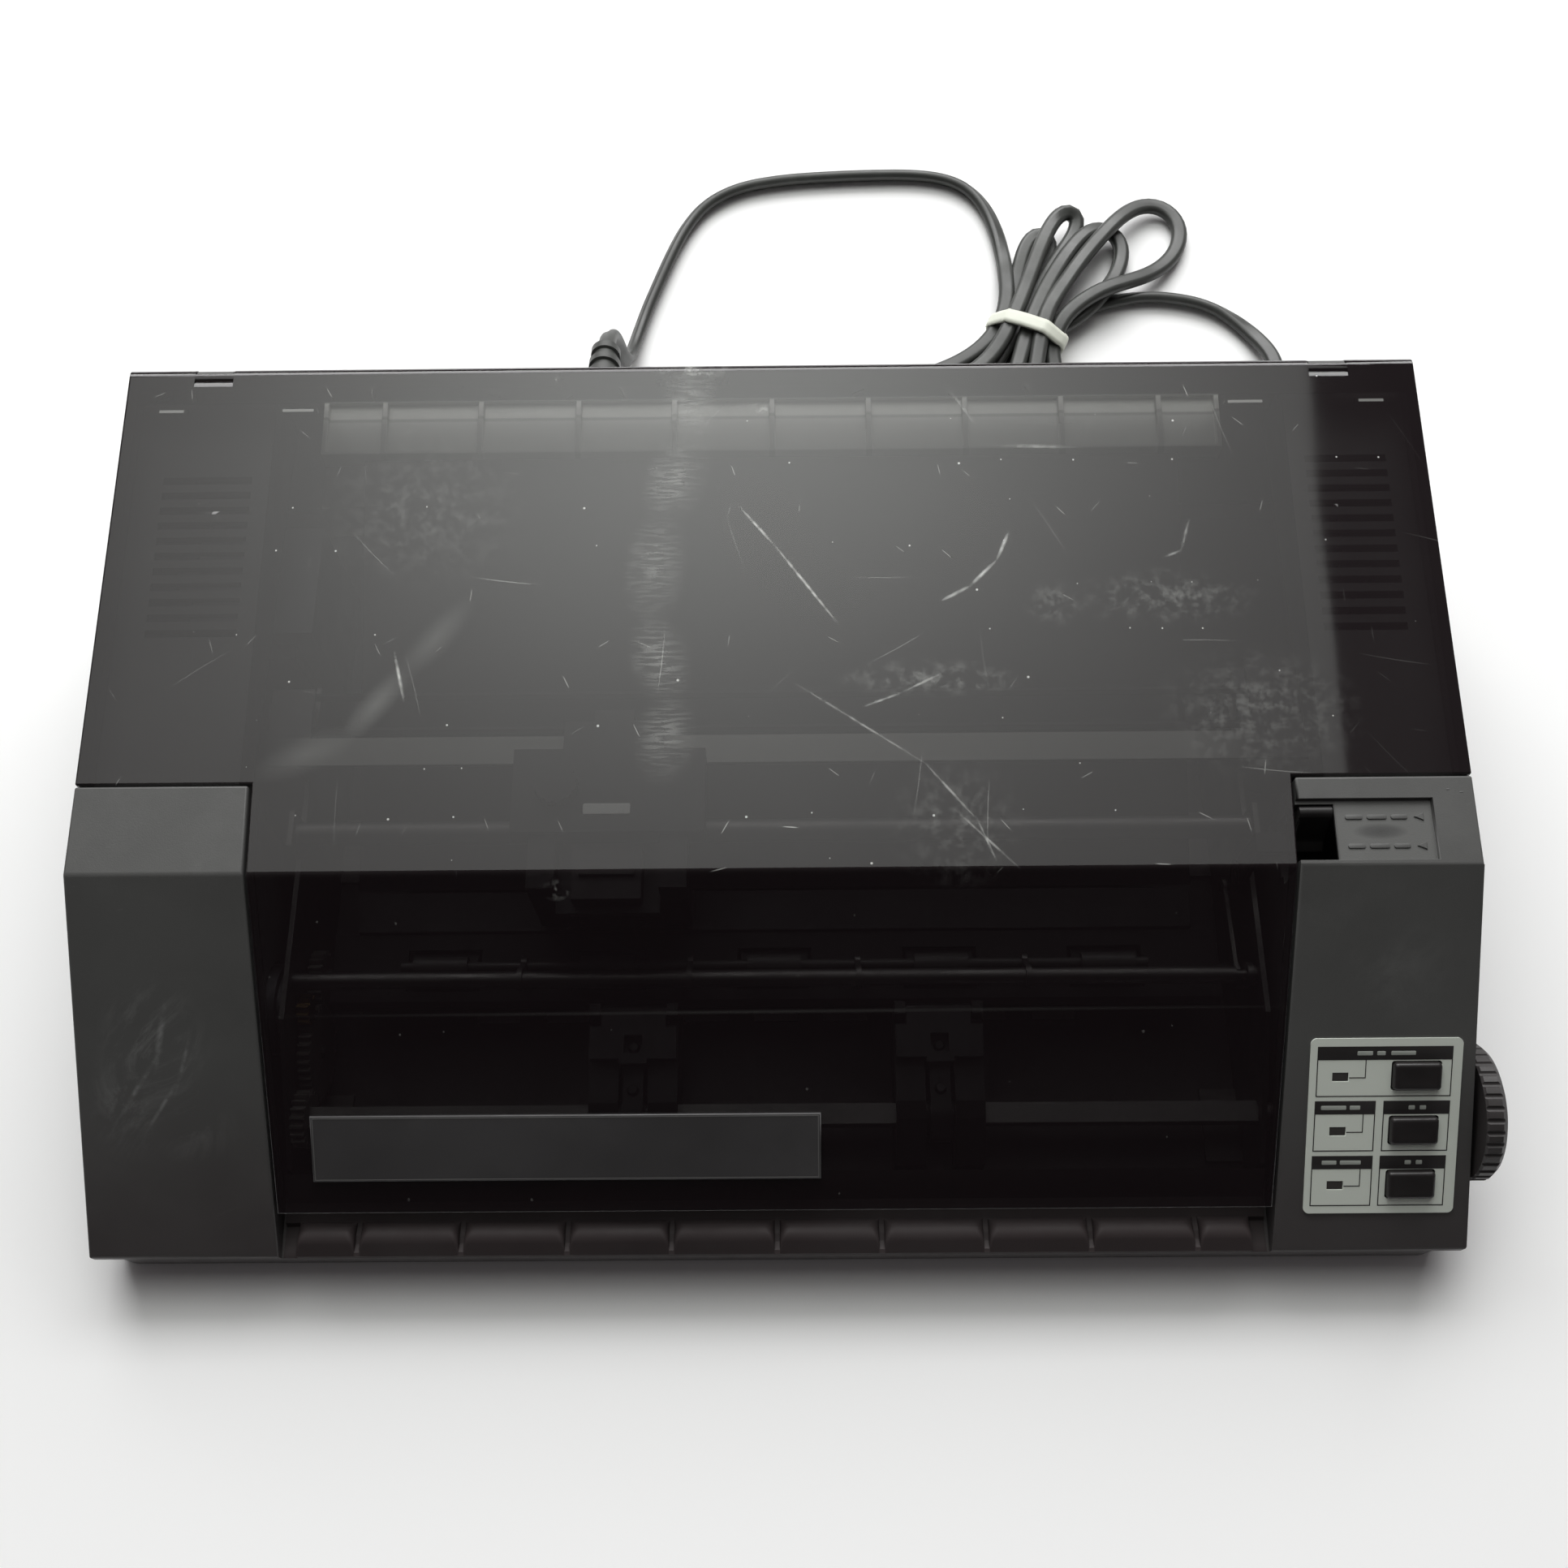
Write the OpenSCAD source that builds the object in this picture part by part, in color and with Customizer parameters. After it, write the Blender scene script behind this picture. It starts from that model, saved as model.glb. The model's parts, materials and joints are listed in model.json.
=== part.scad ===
// Dot matrix printer with a smoked hinged cover, seen from the front with +X to the right,
// +Y to the rear and +Z up. All sizes in millimetres. The body is drawn with its front wall
// at y = 0 and its mid-plane at x = 0, and place() moves it so that the origin is the centre
// of the printer's own footprint, on the surface it stands on.

/* [Case] */
// Depth of the case
body_d = 259; // [258.5:0.1:259.5]
// Half width of the case at the top of the front wall
half_w = 201; // [200.8:0.1:201.2]
// Wall thickness of the case mouldings
wall = 2.5; // [2.3:0.1:2.6]
// Draft angle of the side walls in degrees
draft = 2; // [1.8:0.1:2.1]
/* [Cover] */
// Thickness of the smoked cover
cover_t = 2.4; // [2.2:0.1:2.5]
// Depth of the cover's side skirts
skirt_d = 9.2; // [8.8:0.1:9.3]
// Radius of the rolled hinge edge of the cover
barrel_r = 3.4; // [3.4:0.1:3.4]
/* [Feed] */
// Radius of the platen knob
knob_r = 20; // [18:0.5:20.5]
// Radius of the rubber feed rollers
roller_r = 8.1; // [7.9:0.05:8.15]
/* [Carriage] */
// Place of the carriage across the printer
carriage_x = -47.5; // [-50:0.5:-44]
/* [Tractors] */
// Place of the left tractor
tractor_lx = -41.5; // [-44:0.5:-40]
// Place of the right tractor
tractor_rx = 48.5; // [47:0.5:51]

/* [Hidden] */

C_CASE = [0.20, 0.20, 0.20];
C_LID = [0.22, 0.21, 0.21, 0.75];
C_BLACK = [0.06, 0.06, 0.06];
C_STEEL = [0.62, 0.63, 0.65];
C_CORD = [0.33, 0.34, 0.33];

org_x = 4;            // the knob stands out on the right, so the footprint's centre is off the mid-plane
org_y = 129.5;
seam_z = 15;
z0 = 19;              // top of the front wall
yb = 96.5;            // where the front slope meets the top
zb = 81.5;
zr = 95;              // top at the rear
kf = (zb - z0) / yb;
kt = (zr - zb) / (259 - yb);
cf = sqrt(1 + kf * kf);
ct = sqrt(1 + kt * kt);
af = atan(kf);
at = atan(kt);
function fs(y, o = 0) = z0 + kf * y - o * cf;
function tp(y, o = 0) = zb + kt * (y - yb) - o * ct;
function ybk(o) = (zb - z0 - kt * yb + o * (cf - ct)) / (kf - kt);
function hw(z, o = 0) = half_w - (z - z0) * tan(draft) - o;
function podl(y) = 145.48 + 0.02924 * y;
function podr(y) = 144.54 + 0.03275 * y;
hy = 255.6;           // the cover's hinge axis
hz = 91.3;
fy = 38.4;            // the feed shaft's axis
fz = 28;
gy = 82;              // the friction shaft's axis
gz = 26;
ty = 40;              // the tractors' guide rod
tz = 14.5;
ly = 76;              // the lift shaft's axis
lz = 44;
vy = 106;             // the lever's axis
vz = 46;
iy = 59.97;           // the idler gear's axis, in mesh with the feed and friction gears
iz = 21.945;
py = 69.17;           // the feed motor's axis
pz = 37.88;
ry = 118;             // the guide rod's axis
rz = 56;
wy = 157;             // the belt pulleys' axes
wr = 159.5;
wl = -147;
paper_z = 34.6;
cell = [-122.5, -92, -61, -30.5, 0.4, 31, 61.5, 92, 122.9];

module place() translate([-org_x, -org_y, 0]) children();
// extrusions of a side view (y, z) along X and of a front view (x, z) along Y
module exX(x0, x1) translate([x0, 0, 0]) rotate([90, 0, 90]) linear_extrude(x1 - x0) children();
module exY(y0, y1) translate([0, y1, 0]) rotate([90, 0, 0]) linear_extrude(y1 - y0) children();
module box(x0, x1, y0, y1, z0, z1) translate([x0, y0, z0]) cube([x1 - x0, y1 - y0, z1 - z0]);
module rodX(x0, x1, y, z, r, fn = 48) translate([x0, y, z]) rotate([0, 90, 0]) cylinder(h = x1 - x0, r = r, $fn = fn);
module rodZ(x, y, z0, z1, r, fn = 40) translate([x, y, z0]) cylinder(h = z1 - z0, r = r, $fn = fn);
module onslope() translate([0, 0, z0]) rotate([af, 0, 0]) children();
module profile(o, y1, zlow) polygon([[o, zlow], [o, fs(o, o)], [ybk(o), fs(ybk(o), o)], [y1, tp(y1, o)], [y1, zlow]]);
module trap(o, z1 = 110) polygon([[-hw(0, o), 0], [hw(0, o), 0], [hw(z1, o), z1], [-hw(z1, o), z1]]);
module env(o, zlow) intersection() {
    exX(-210, 210) profile(o, body_d - o, zlow);
    exY(-1, 262) trap(o);
}
// a flat bar with round ends between two points of the side view
module bar2(x0, x1, a, b, r, waist = 1) {
    d = [b[0] - a[0], b[1] - a[1]];
    l = sqrt(d[0] * d[0] + d[1] * d[1]);
    rodX(x0, x1, a[0], a[1], r, 32);
    rodX(x0, x1, b[0], b[1], r, 32);
    translate([0, a[0], a[1]]) rotate([atan2(d[1], d[0]), 0, 0]) box(x0, x1, 0, l, -r * waist, r * waist);
}

// ---------------------------------------------------------------- case

screw_pos = [[-191.5, 72], [191.5, 72], [-191.5, 214], [191.5, 214]];

module lower_case() color(C_CASE) difference() {
    union() {
        difference() {
            intersection() {
                exY(0.2, body_d - 0.8) polygon([[-198.8, 3], [198.8, 3], [200.3, seam_z], [-200.3, seam_z]]);
                translate([0, 0, 3]) linear_extrude(seam_z - 3) rrect(-200.3, 200.3, 0.2, body_d - 0.8, 9);
            }
            difference() {
                exY(0.8 + wall, body_d - 0.8 - wall) polygon([[-196.3, 5.5], [196.3, 5.5], [197.8, seam_z + 1], [-197.8, seam_z + 1]]);
                for (p = screw_pos) rodZ(p[0], p[1], 5, seam_z + 0, 5.2);
                for (x = [-116, 116], y = [120, 239]) rodZ(x, y, 5, 9, 3.5);
                
                for (y = [80, 110]) box(-100, 100, y, y + 2, 5, 11);
            }
        }
    }
    for (p = screw_pos) {
        rodZ(p[0], p[1], 2, 10, 3.6);
        rodZ(p[0], p[1], 9, seam_z + 1, 1.9);
    }
    for (i = [-4:4], s = [-1, 1]) box(i * 22 - 7, i * 22 + 7, 128 + s * 55, 131 + s * 55, 2, 7);
}

module pod(s, o, zlow) intersection() {
    env(o, zlow);
    translate([0, 0, -10]) linear_extrude(130) polygon(s < 0 ?
        [[-215, -5], [-podl(-5) - o, -5], [-podl(122.4 - o) - o, 122.4 - o], [-215, 122.4 - o]] :
        [[215, -5], [podr(-5) + o, -5], [podr(122.4 - o) + o, 122.4 - o], [215, 122.4 - o]]);
}

module louvres(x0, x1, y0, n) for (i = [0:n - 1]) box(x0, x1, y0 + i * 5.1, y0 + i * 5.1 + 2.4, 60, 90);

module upper_case() color(C_CASE) difference() {
    union() {
        // the two front pods, open underneath
        for (s = [-1, 1]) difference() {
            pod(s, 0, seam_z);
            pod(s, wall, seam_z - 5);
        }
        // rear box: side walls, rear wall and the decks under the cover
        difference() {
            intersection() {
                exX(-210, 210) polygon([[119.9, seam_z], [119.9, tp(119.9, 9.6)], [256.5, tp(256.5, 9.6)], [256.5, 87.4], [body_d, 87.4], [body_d, seam_z]]);
                exY(0, 262) trap(0);
            }
            intersection() {
                exX(-210, 210) polygon([[110, seam_z - 5], [110, tp(110, 12.1)], [256.5, tp(256.5, 12.1)], [256.5, seam_z - 5]]);
                exY(0, 262) trap(wall);
            }
            box(-155, 160, 110, 256.5, 10, 100);
            box(-142.5, 142.5, 250, 270, 74.5, 100);
        }
        // curtain walls along the inner edges of the decks
        for (x = [-157.5, 160]) exX(x, x + 2.5) polygon([[122.4, 63], [122.4, tp(122.4, 10)], [257, tp(257, 10)], [257, 63]]);
        // front wall and ledge below the sill
        box(-147, 146.5, 0, wall, seam_z, 15.6);
        box(-147, 146.5, 0, 17, seam_z, 15.6);
        // hinge knuckles on the rear wall
        for (s = [-1, 1]) {
            rodX(s * 172 - 5.6, s * 172 + 5.6, hy, hz, 3.2);
            box(s * 172 - 5.6, s * 172 + 5.6, 254.4, 258.6, 80, hz);
        }
        // bosses for the case screws
        for (p = screw_pos) intersection() {
            rodZ(p[0], p[1], seam_z, 42, 5.2);
            exY(0, 262) trap(1);
        }
        for (p = [[157, 12], [191.5, 12], [157, 63], [191.5, 63]]) onslope() translate([p[0], p[1], -7.5]) cylinder(h = 6.5, r = 2.2, $fn = 32);
    }
    for (p = screw_pos) rodZ(p[0], p[1], seam_z - 1, 34, 1.6);
    // feed shaft and knob hub on the right, feed motor on the left
    rodX(140, 155, fy, fz, 5);
    rodX(190, 205, fy, fz, 6.5);
    rodX(-153, -144, py, pz, 14.6);
    // lower parts of the pods' rear and inner walls are open for the mechanism
    box(-152, 152, 119, 123, 10, 66);
    box(-175, -152, 119, 123, 10, 60);
    box(150, 185, 119, 123, 10, 60);
    // lever recess and slot in the right pod
    translate([0, yb, zb]) rotate([at, 0, 0]) {
        box(140, 186.6, 1.5, 19.4, -1.6, 5);
        box(140, 159, 1.6, 18.2, -20, 5);
    }
    // windows and button holes of the control label
    onslope() {
        for (s = [49.2, 32.8, 16.4]) box(175.95, 190.25, s - 0.25, s + 8.55, -4, 1);
        for (s = [51.7, 35.3, 18.9]) box(159.2, 163.8, s, s + 2.6, -4, 1);
    }
    box(146, 152, 97, 115.5, 64, 77);
    louvres(-188, -160.5, 173, 11);
    louvres(165, 190, 172, 12);
    rodX(-180, 180, hy, hz, 1.55);
    // cut-outs in the rear wall
    box(-150, -128, 250, 265, 28, 46);
    box(62, 122, 250, 265, 16, 30);
    translate([-57, body_d, 60]) rotate([-90, 0, 0]) translate([0, 0, -10]) cylinder(h = 15, r = 5.2, $fn = 48);
}

// ribbed sill at the paper entry, one moulding with the ramp that leads the paper in
module front_sill() color(C_CASE) difference() {
    exX(-144.6, 143.6) {
        polygon([[0, 15.6], [0, 19], [3, 20.94], [5.5, 17.08], [9.96, 18.19], [15.6, 18.5], [22.8, 25.4], [22.8, 23.6], [16.6, 17.2], [16.6, 15.6]]);
        difference() {
            translate([5.5, 17.08]) circle(4.6, $fn = 96);
            translate([0, 10]) square([12, 6]);
        }
    }
    // narrow grooves between the rounded pads, and a gap at each end
    for (c = cell) exX(c - 0.75, c + 0.75) polygon([[1, fs(1)], [3.4, 18.7], [6, 18.9], [8.4, 18.2], [9.9, 18.21], [11, 24], [1, 24]]);
    for (x = [[-146, -140.2], [138.8, 146]]) exX(x[0], x[1]) polygon([[-1, 16.4], [9.6, 16.4], [9.7, 18.16], [11, 24], [-1, 24]]);
}

module rear_guide() color([0.42, 0.43, 0.42]) {
    difference() {
        exX(-142, 142) polygon([[238, 70.5], [238, 77.2], [257.2, 79.4], [257.2, 74.5], [256.5, 74.5], [256.5, 72.5], [240, 70.5]]);
        for (i = [0:9]) {
            x0 = i == 0 ? -140.4 : cell[i - 1] + 0.9;
            x1 = i == 9 ? 140.4 : cell[i] - 0.9;
            exX(x0, x1) polygon([[239.2, 75.8], [239.2, 90], [256, 90], [256, 77.7]]);
        }
    }
}

module feet() color(C_BLACK) for (x = [-168, 168], y = [24, 236]) translate([x, y, 0])
    rotate_extrude($fn = 48) polygon([[0, 0], [8, 0], [9, 1], [9, 3], [0, 3]]);

module case_screws() color(C_STEEL) for (p = screw_pos) translate([p[0], p[1], 0]) {
    difference() {
        rodZ(0, 0, 7.4, 10, 3.2);
        box(-0.5, 0.5, -2.2, 2.2, 7, 8.4);
        box(-2.2, 2.2, -0.5, 0.5, 7, 8.4);
    }
    rodZ(0, 0, 10, 30, 1.55, 32);
}

// ---------------------------------------------------------------- cover

module lid() color(C_LID) difference() {
    union() {
        intersection() {
            union() {
                intersection() {
                    exX(-205, 205) polygon([[11.1, fs(11.1)], [yb, zb], [hy - barrel_r * sin(at), hz + barrel_r * cos(at)],
                        [hy, hz + barrel_r], [hy, hz + 1], [hy - sin(at), hz + cos(at)], [ybk(cover_t), fs(ybk(cover_t), cover_t)],
                        [11.1 + cover_t * sin(af), fs(11.1) - cover_t * cos(af)]]);
                    linear_extrude(120) polygon([[-podl(5) + 0.8, 5], [-podl(122.9) + 0.8, 122.9], [-205, 122.9], [-205, 270],
                        [205, 270], [205, 122.9], [podr(122.9) - 0.8, 122.9], [podr(5) - 0.8, 5]]);
                }
                // side skirts
                difference() {
                    exX(-205, 205) polygon([[122.9, tp(122.9, skirt_d)], [122.9, tp(122.9, 0.5)], [255.2, tp(255.2, 0.5)], [255.9, hz], [255.9, tp(255.9, skirt_d)]]);
                    exY(100, 262) trap(2.2);
                }
                rodX(-205, 205, hy, hz, barrel_r, 64);
            }
            exY(0, 262) trap(0);
        }
        // stiffening lips along the sides of the front section
        for (s = [-1, 1]) intersection() {
            exX(-205, 205) polygon([[16, fs(16, 1)], [yb, zb - 1], [118, tp(118, 1)], [118, tp(118, 4.6)], [ybk(4.6), fs(ybk(4.6), 4.6)], [16, fs(16, 4.6)]]);
            linear_extrude(120) polygon(s < 0 ? [[-podl(5) + 0.8, 5], [-podl(122) + 0.8, 122], [-podl(122) + 2.2, 122], [-podl(5) + 2.2, 5]] :
                [[podr(5) - 0.8, 5], [podr(122) - 0.8, 122], [podr(122) - 2.2, 122], [podr(5) - 2.2, 5]]);
        }
        // locating ribs inside the rear edge
        for (x = [[-188, -180], [-150, -140], [140, 151], [180, 188]]) box(x[0], x[1], 244.6, 245.6, tp(245, 4.4), tp(245, 1.5));
    }
    for (s = [-1, 1]) box(s * 172 - 6, s * 172 + 6, 251.3, 262, 80, 100);
    for (s = [-1, 1]) rodX(s * 172 - 14, s * 172 + 14, hy, hz, 1.52);
}
// steel pins pressed into the cover's rolled edge and turning in the case's knuckles
module hinge_pins() color(C_STEEL) for (s = [-1, 1]) rodX(s * 172 - 13.8, s * 172 + 13.8, hy, hz, 1.5);

module nameplate() color([0.16, 0.16, 0.16]) onslope() box(-133.5, 13.3, 23.6, 43.5, 0, 1.2);

// ---------------------------------------------------------------- controls

module rrect(x0, x1, y0, y1, r) {
    translate([x0 + r, y0]) square([x1 - x0 - 2 * r, y1 - y0]);
    translate([x0, y0 + r]) square([x1 - x0, y1 - y0 - 2 * r]);
    for (x = [x0 + r, x1 - r], y = [y0 + r, y1 - r]) translate([x, y]) circle(r, $fn = 32);
}

module label_panel() color([0.62, 0.64, 0.60]) onslope() linear_extrude(0.5) difference() {
    rrect(152.7, 196, 11.6, 64.5, 1.8);
    for (s = [49.2, 32.8, 16.4]) rrect(175.95, 190.25, s - 0.25, s + 8.55, 0.9);
    for (s = [51.7, 35.3, 18.9]) translate([159.2, s]) square([4.6, 2.6]);
}

module button(s) color(C_BLACK) onslope() {
    translate([0, 0, -3.2]) linear_extrude(4.9) rrect(176.2, 190, s, s + 8.3, 0.8);
    translate([0, 0, 1.7]) linear_extrude(0.8) rrect(176.7, 189.5, s + 0.5, s + 7.8, 0.7);
    box(175.4, 190.8, s - 0.8, s + 9.1, -4.6, -3.2);
}
module button_online() button(49.2);
module button_form_feed() button(32.8);
module button_line_feed() button(16.4);

module control_board() onslope() {
    color([0.1, 0.32, 0.16]) box(154, 194.5, 9.5, 66, -9.1, -7.5);
    for (s = [49.2, 32.8, 16.4]) color(C_BLACK) box(180, 186.2, s + 1.2, s + 7.2, -7.5, -5.9);
    for (s = [51.7, 35.3, 18.9]) color([0.45, 0.05, 0.05]) box(159.4, 163.6, s + 0.2, s + 2.4, -7.5, -0.3);
    color([0.85, 0.85, 0.8]) box(165, 173, 60, 64, -7.5, -4.5);
}

sw_y = 252.5;
sw_z = 37;
module switch_body() color(C_BLACK) difference() {
    box(-150, -128, 238, 258.7, 28, 46);
    box(-147.5, -130.5, 249, 262, sw_z - 6.4, sw_z + 6.4);
    rodX(-148.6, -129.4, sw_y, sw_z, 1.55, 32);
}
module power_rocker() color([0.1, 0.1, 0.1]) {
    rodX(-148.5, -129.5, sw_y, sw_z, 1.5, 32);
    translate([0, sw_y, sw_z]) rotate([-8, 0, 0])
        exX(-147.2, -130.8) polygon([[-2, -2.5], [-2, 2.5], [1, 5.4], [4.6, 5.4], [3.4, 0], [4.6, -5.4], [1, -5.4]]);
}

module parallel_port() {
    color(C_STEEL) difference() {
        box(62, 122, 244, 258.7, 16, 30);
        exY(247, 262) polygon([[66, 18], [118, 18], [120, 28], [64, 28]]);
    }
    color([0.85, 0.85, 0.8]) box(68, 116, 247, 256.5, 18, 19.6);
}

// ---------------------------------------------------------------- frame and paper path

function plate() = [[24, 5.5], [170, 5.5], [170, 49], [148, 49], [148, 60], [137.5, 60], [137.5, 50], [123.5, 50], [123.5, 61.5], [112.5, 61.5],
    [112.5, 50], [63, 50], [60, 48], [24, 26]];
module frame_plate(x0, x1, f0, f1) {
    exX(x0, x1) polygon(plate());
    for (y = [28, 120]) box(f0, f1, y, y + 22, 5.5, 7);
}
module bores(x0, x1) {
    rodX(x0, x1, fy, fz, 3.05);
    rodX(x0, x1, gy, gz, 3.05);
    rodX(x0, x1, ly, lz, 2.55);
    rodX(x0, x1, ty, tz, 2.53);
    rodX(x0, x1, ry, rz, 3.53);
}
module frame_left() color(C_STEEL) {
    difference() {
        frame_plate(-143.5, -142, -143.5, -131);
        bores(-145, -140);
        rodX(-145, -140, py, pz, 2.2);
    }
    rodX(-142.5, -136.6, iy, iz, 2, 32);
}
module frame_right() color(C_STEEL) {
    difference() {
        frame_plate(142, 143.5, 131, 143.5);
        bores(140, 145);
    }
    rodX(138.3, 142.5, vy, vz, 2.5, 32);
}

roller_x = [-100, -50, 0, 50, 100];
module paper_table() color([0.3, 0.29, 0.28]) {
    difference() {
        exX(-134, 134) polygon([[70.6, 30.2], [70.6, 32.4], [72.4, 33.6], [93.4, 33.6], [93.4, 32], [73.2, 32], [72.1, 31.2], [72.1, 30.2]]);
        for (x = roller_x) box(x - 11.2, x + 11.2, 75.5, 88.5, 30, 36);
    }
    for (x = [-131, 129.5]) box(x, x + 1.5, 89.4, 93.4, 5.5, 32);
    for (x = [-131, 125]) box(x, x + 6, 88, 93.4, 5.5, 7);
}
module platen_bar() color(C_BLACK) {
    box(-127, 127, 94, 106.5, 26, paper_z);
    for (x = [-108, 0, 108]) box(x - 4, x + 4, 95, 105, 5.5, 26);
}
module paper_chute() color([0.3, 0.29, 0.28]) {
    exX(-128, 128) polygon([[107.5, paper_z - 0.2], [236.5, 75.7], [237.2, 74.2], [108, 32.8]]);
    for (x = [-126.8, 125.2]) exX(x, x + 1.6) polygon([[150, 5.5], [150, 47], [236, 74], [236, 5.5]]);
}

// ---------------------------------------------------------------- paper feed

module feed_shaft() color(C_STEEL) {
    rodX(-143.3, -141, fy, fz, 3);
    box(-141.7, 141.7, fy - 3, fy + 3, fz - 3, fz + 3);
    rodX(141, 205, fy, fz, 3);
}
module friction_shaft() color(C_STEEL) rodX(-143.3, 143.3, gy, gz, 3);
module friction_rollers() color(C_BLACK) for (x = roller_x) difference() {
    rodX(x - 10, x + 10, gy, gz, roller_r, 96);
    rodX(x - 11, x + 11, gy, gz, 3.02);
}

module knob() color(C_BLACK) difference() {
    union() {
        translate([201.9, fy, fz]) rotate([0, 90, 0]) rotate_extrude($fn = 96)
            polygon([[0, 0], [knob_r - 0.6, 0], [knob_r, 0.6], [knob_r, 4.6], [knob_r - 1.4, 6.2], [knob_r - 3.4, 7.1], [knob_r - 5, 7.1], [knob_r - 6.4, 6.1], [0, 6.1]]);
        rodX(198.6, 201.9, fy, fz, 5.6);
    }
    for (i = [0:35]) translate([201.5, fy, fz]) rotate([i * 10, 0, 0]) translate([0, 0, knob_r + 0.35]) rotate([0, 90, 0]) cylinder(h = 9, r = 0.95, $fn = 16);
    rodX(190, 205, fy, fz, 3.02);
}

// straight-flanked teeth with backlash, module m, first tooth at angle ph in the side view
module gear(x0, x1, y, z, n, m, ph, bore) {
    p = 360 / n;
    r = n * m / 2;
    translate([0, y, z]) difference() {
        exX(x0, x1) polygon([for (i = [0:n - 1]) let (a = ph + i * p) each [
            [(r - 1.15 * m) * cos(a - 0.32 * p), (r - 1.15 * m) * sin(a - 0.32 * p)],
            [r * cos(a - 0.21 * p), r * sin(a - 0.21 * p)],
            [(r + 0.8 * m) * cos(a - 0.10 * p), (r + 0.8 * m) * sin(a - 0.10 * p)],
            [(r + 0.8 * m) * cos(a + 0.10 * p), (r + 0.8 * m) * sin(a + 0.10 * p)],
            [r * cos(a + 0.21 * p), r * sin(a + 0.21 * p)],
            [(r - 1.15 * m) * cos(a + 0.32 * p), (r - 1.15 * m) * sin(a + 0.32 * p)]]]);
        if (bore > 0) rodX(x0 - 1, x1 + 1, 0, 0, bore, 32);
    }
}
gm = 0.8;
// phase of a gear with n2 teeth so that a gap faces the tooth of its mate along the direction d
function mate(d, n1, ph1, n2) = let (p = 360 / n1, k = floor((d - ph1) / p + 0.5), e = (d - ph1) - k * p) d + 180 + e * n1 / n2 + 180 / n2;
d1 = atan2(iz - fz, iy - fy);         // direction from the feed gear to the idler
d2 = atan2(pz - iz, py - iy);         // direction from the idler to the pinion
d3 = atan2(gz - iz, gy - iy);         // direction from the idler to the friction gear
ph_feed = 45;
ph_idler = mate(d1, 20, ph_feed, 36);
module feed_gear() color([0.85, 0.84, 0.8]) difference() {
    gear(-141.4, -137.4, fy, fz, 20, gm, ph_feed, 0);
    box(-142, -137, fy - 3.02, fy + 3.02, fz - 3.02, fz + 3.02);
}
module idler_gear() color([0.85, 0.84, 0.8]) gear(-141.2, -137.6, iy, iz, 36, gm, ph_idler, 2.05);
module friction_gear() color([0.85, 0.84, 0.8]) gear(-141.4, -137.4, gy, gz, 20, gm, mate(d3, 36, ph_idler, 20), 3.02);
module motor_pinion() color([0.75, 0.65, 0.35]) {
    gear(-141.2, -137.6, py, pz, 10, gm, mate(d2, 36, ph_idler, 10), 0);
    rodX(-153, -139, py, pz, 1.5, 32);
}
module feed_motor() color([0.35, 0.36, 0.38]) difference() {
    union() {
        rodX(-161, -145, py, pz, 13.5, 64);
        rodX(-145, -143.5, py, pz, 11, 48);
    }
    rodX(-154, -140, py, pz, 1.55, 32);
}

// guide rod that carries the tractors
module tractor_rod() color(C_STEEL) rodX(-143.3, 143.3, ty, tz, 2.5);
// loop of pin belt round the drive wheel and the tractor's nose, with pins at half-inch pitch
belt_y = 57.45;
module pin_belt(x) difference() {
    union() {
        bar2(x - 3, x + 3, [fy, fz], [belt_y, fz], 8);
        for (y = [44.5, 57.2]) {
            translate([x, y, fz + 7.6]) cylinder(h = 2.1, r1 = 1.9, r2 = 1.2, $fn = 24);
            translate([x, 2 * fy + 19.05 - y + 6, fz - 9.7]) cylinder(h = 2.1, r1 = 1.2, r2 = 1.9, $fn = 24);
        }
    }
    bar2(x - 4, x + 4, [fy, fz], [belt_y, fz], 6.95);
}
// one paper tractor, centred across the printer at x
module tractor(x) {
    color(C_BLACK) difference() {
        union() {
            for (k = [-1, 1]) {
                exX(x + k * 8.65 - 4.35, x + k * 8.65 + 4.35)
                    polygon([[24, 18], [24, 26.3], [31, 31.6], [36, 34.4], [41, 35.6], [68, 35.6], [68, 18]]);
                exX(x + k * 11.4 - 1.6, x + k * 11.4 + 1.6) polygon([[64.4, 35], [64.4, 39.6], [65.6, 41.6], [69.2, 41.6], [69.8, 40], [69.8, 37], [68, 35]]);
            }
            // web below the belt, guide boss and the nose the belt runs over
            box(x - 13, x + 13, 24, 68, 15.6, 18);
            exX(x - 13, x + 13) polygon([[34, 18], [35, 10.4], [45, 10.4], [46, 18]]);
            rodX(x - 4.4, x + 4.4, belt_y, fz, 6.6);
        }
        rodX(x - 20, x + 20, fy, fz, 5.08);
        rodX(x - 20, x + 20, ty, tz, 2.55);
        rodX(x - 20, x + 20, 67.5, 39.3, 0.95, 32);
    }
    color([0.22, 0.22, 0.22]) pin_belt(x);
}
module tractor_left() tractor(tractor_lx);
module tractor_right() tractor(tractor_rx);

// drive wheel of a tractor, keyed on the square feed shaft
module sprocket(x) color([0.2, 0.2, 0.2]) difference() {
    union() {
        rodX(x - 2.7, x + 2.7, fy, fz, 6.2);
        rodX(x - 12.9, x + 12.9, fy, fz, 5);
        for (i = [0:7]) translate([0, fy, fz]) rotate([i * 45, 0, 0]) box(x - 2.7, x + 2.7, -0.9, 0.9, 5.8, 6.6);
    }
    box(x - 20, x + 20, fy - 3.1, fy + 3.1, fz - 3.1, fz + 3.1);
}
module sprocket_left() sprocket(tractor_lx);
module sprocket_right() sprocket(tractor_rx);

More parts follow.
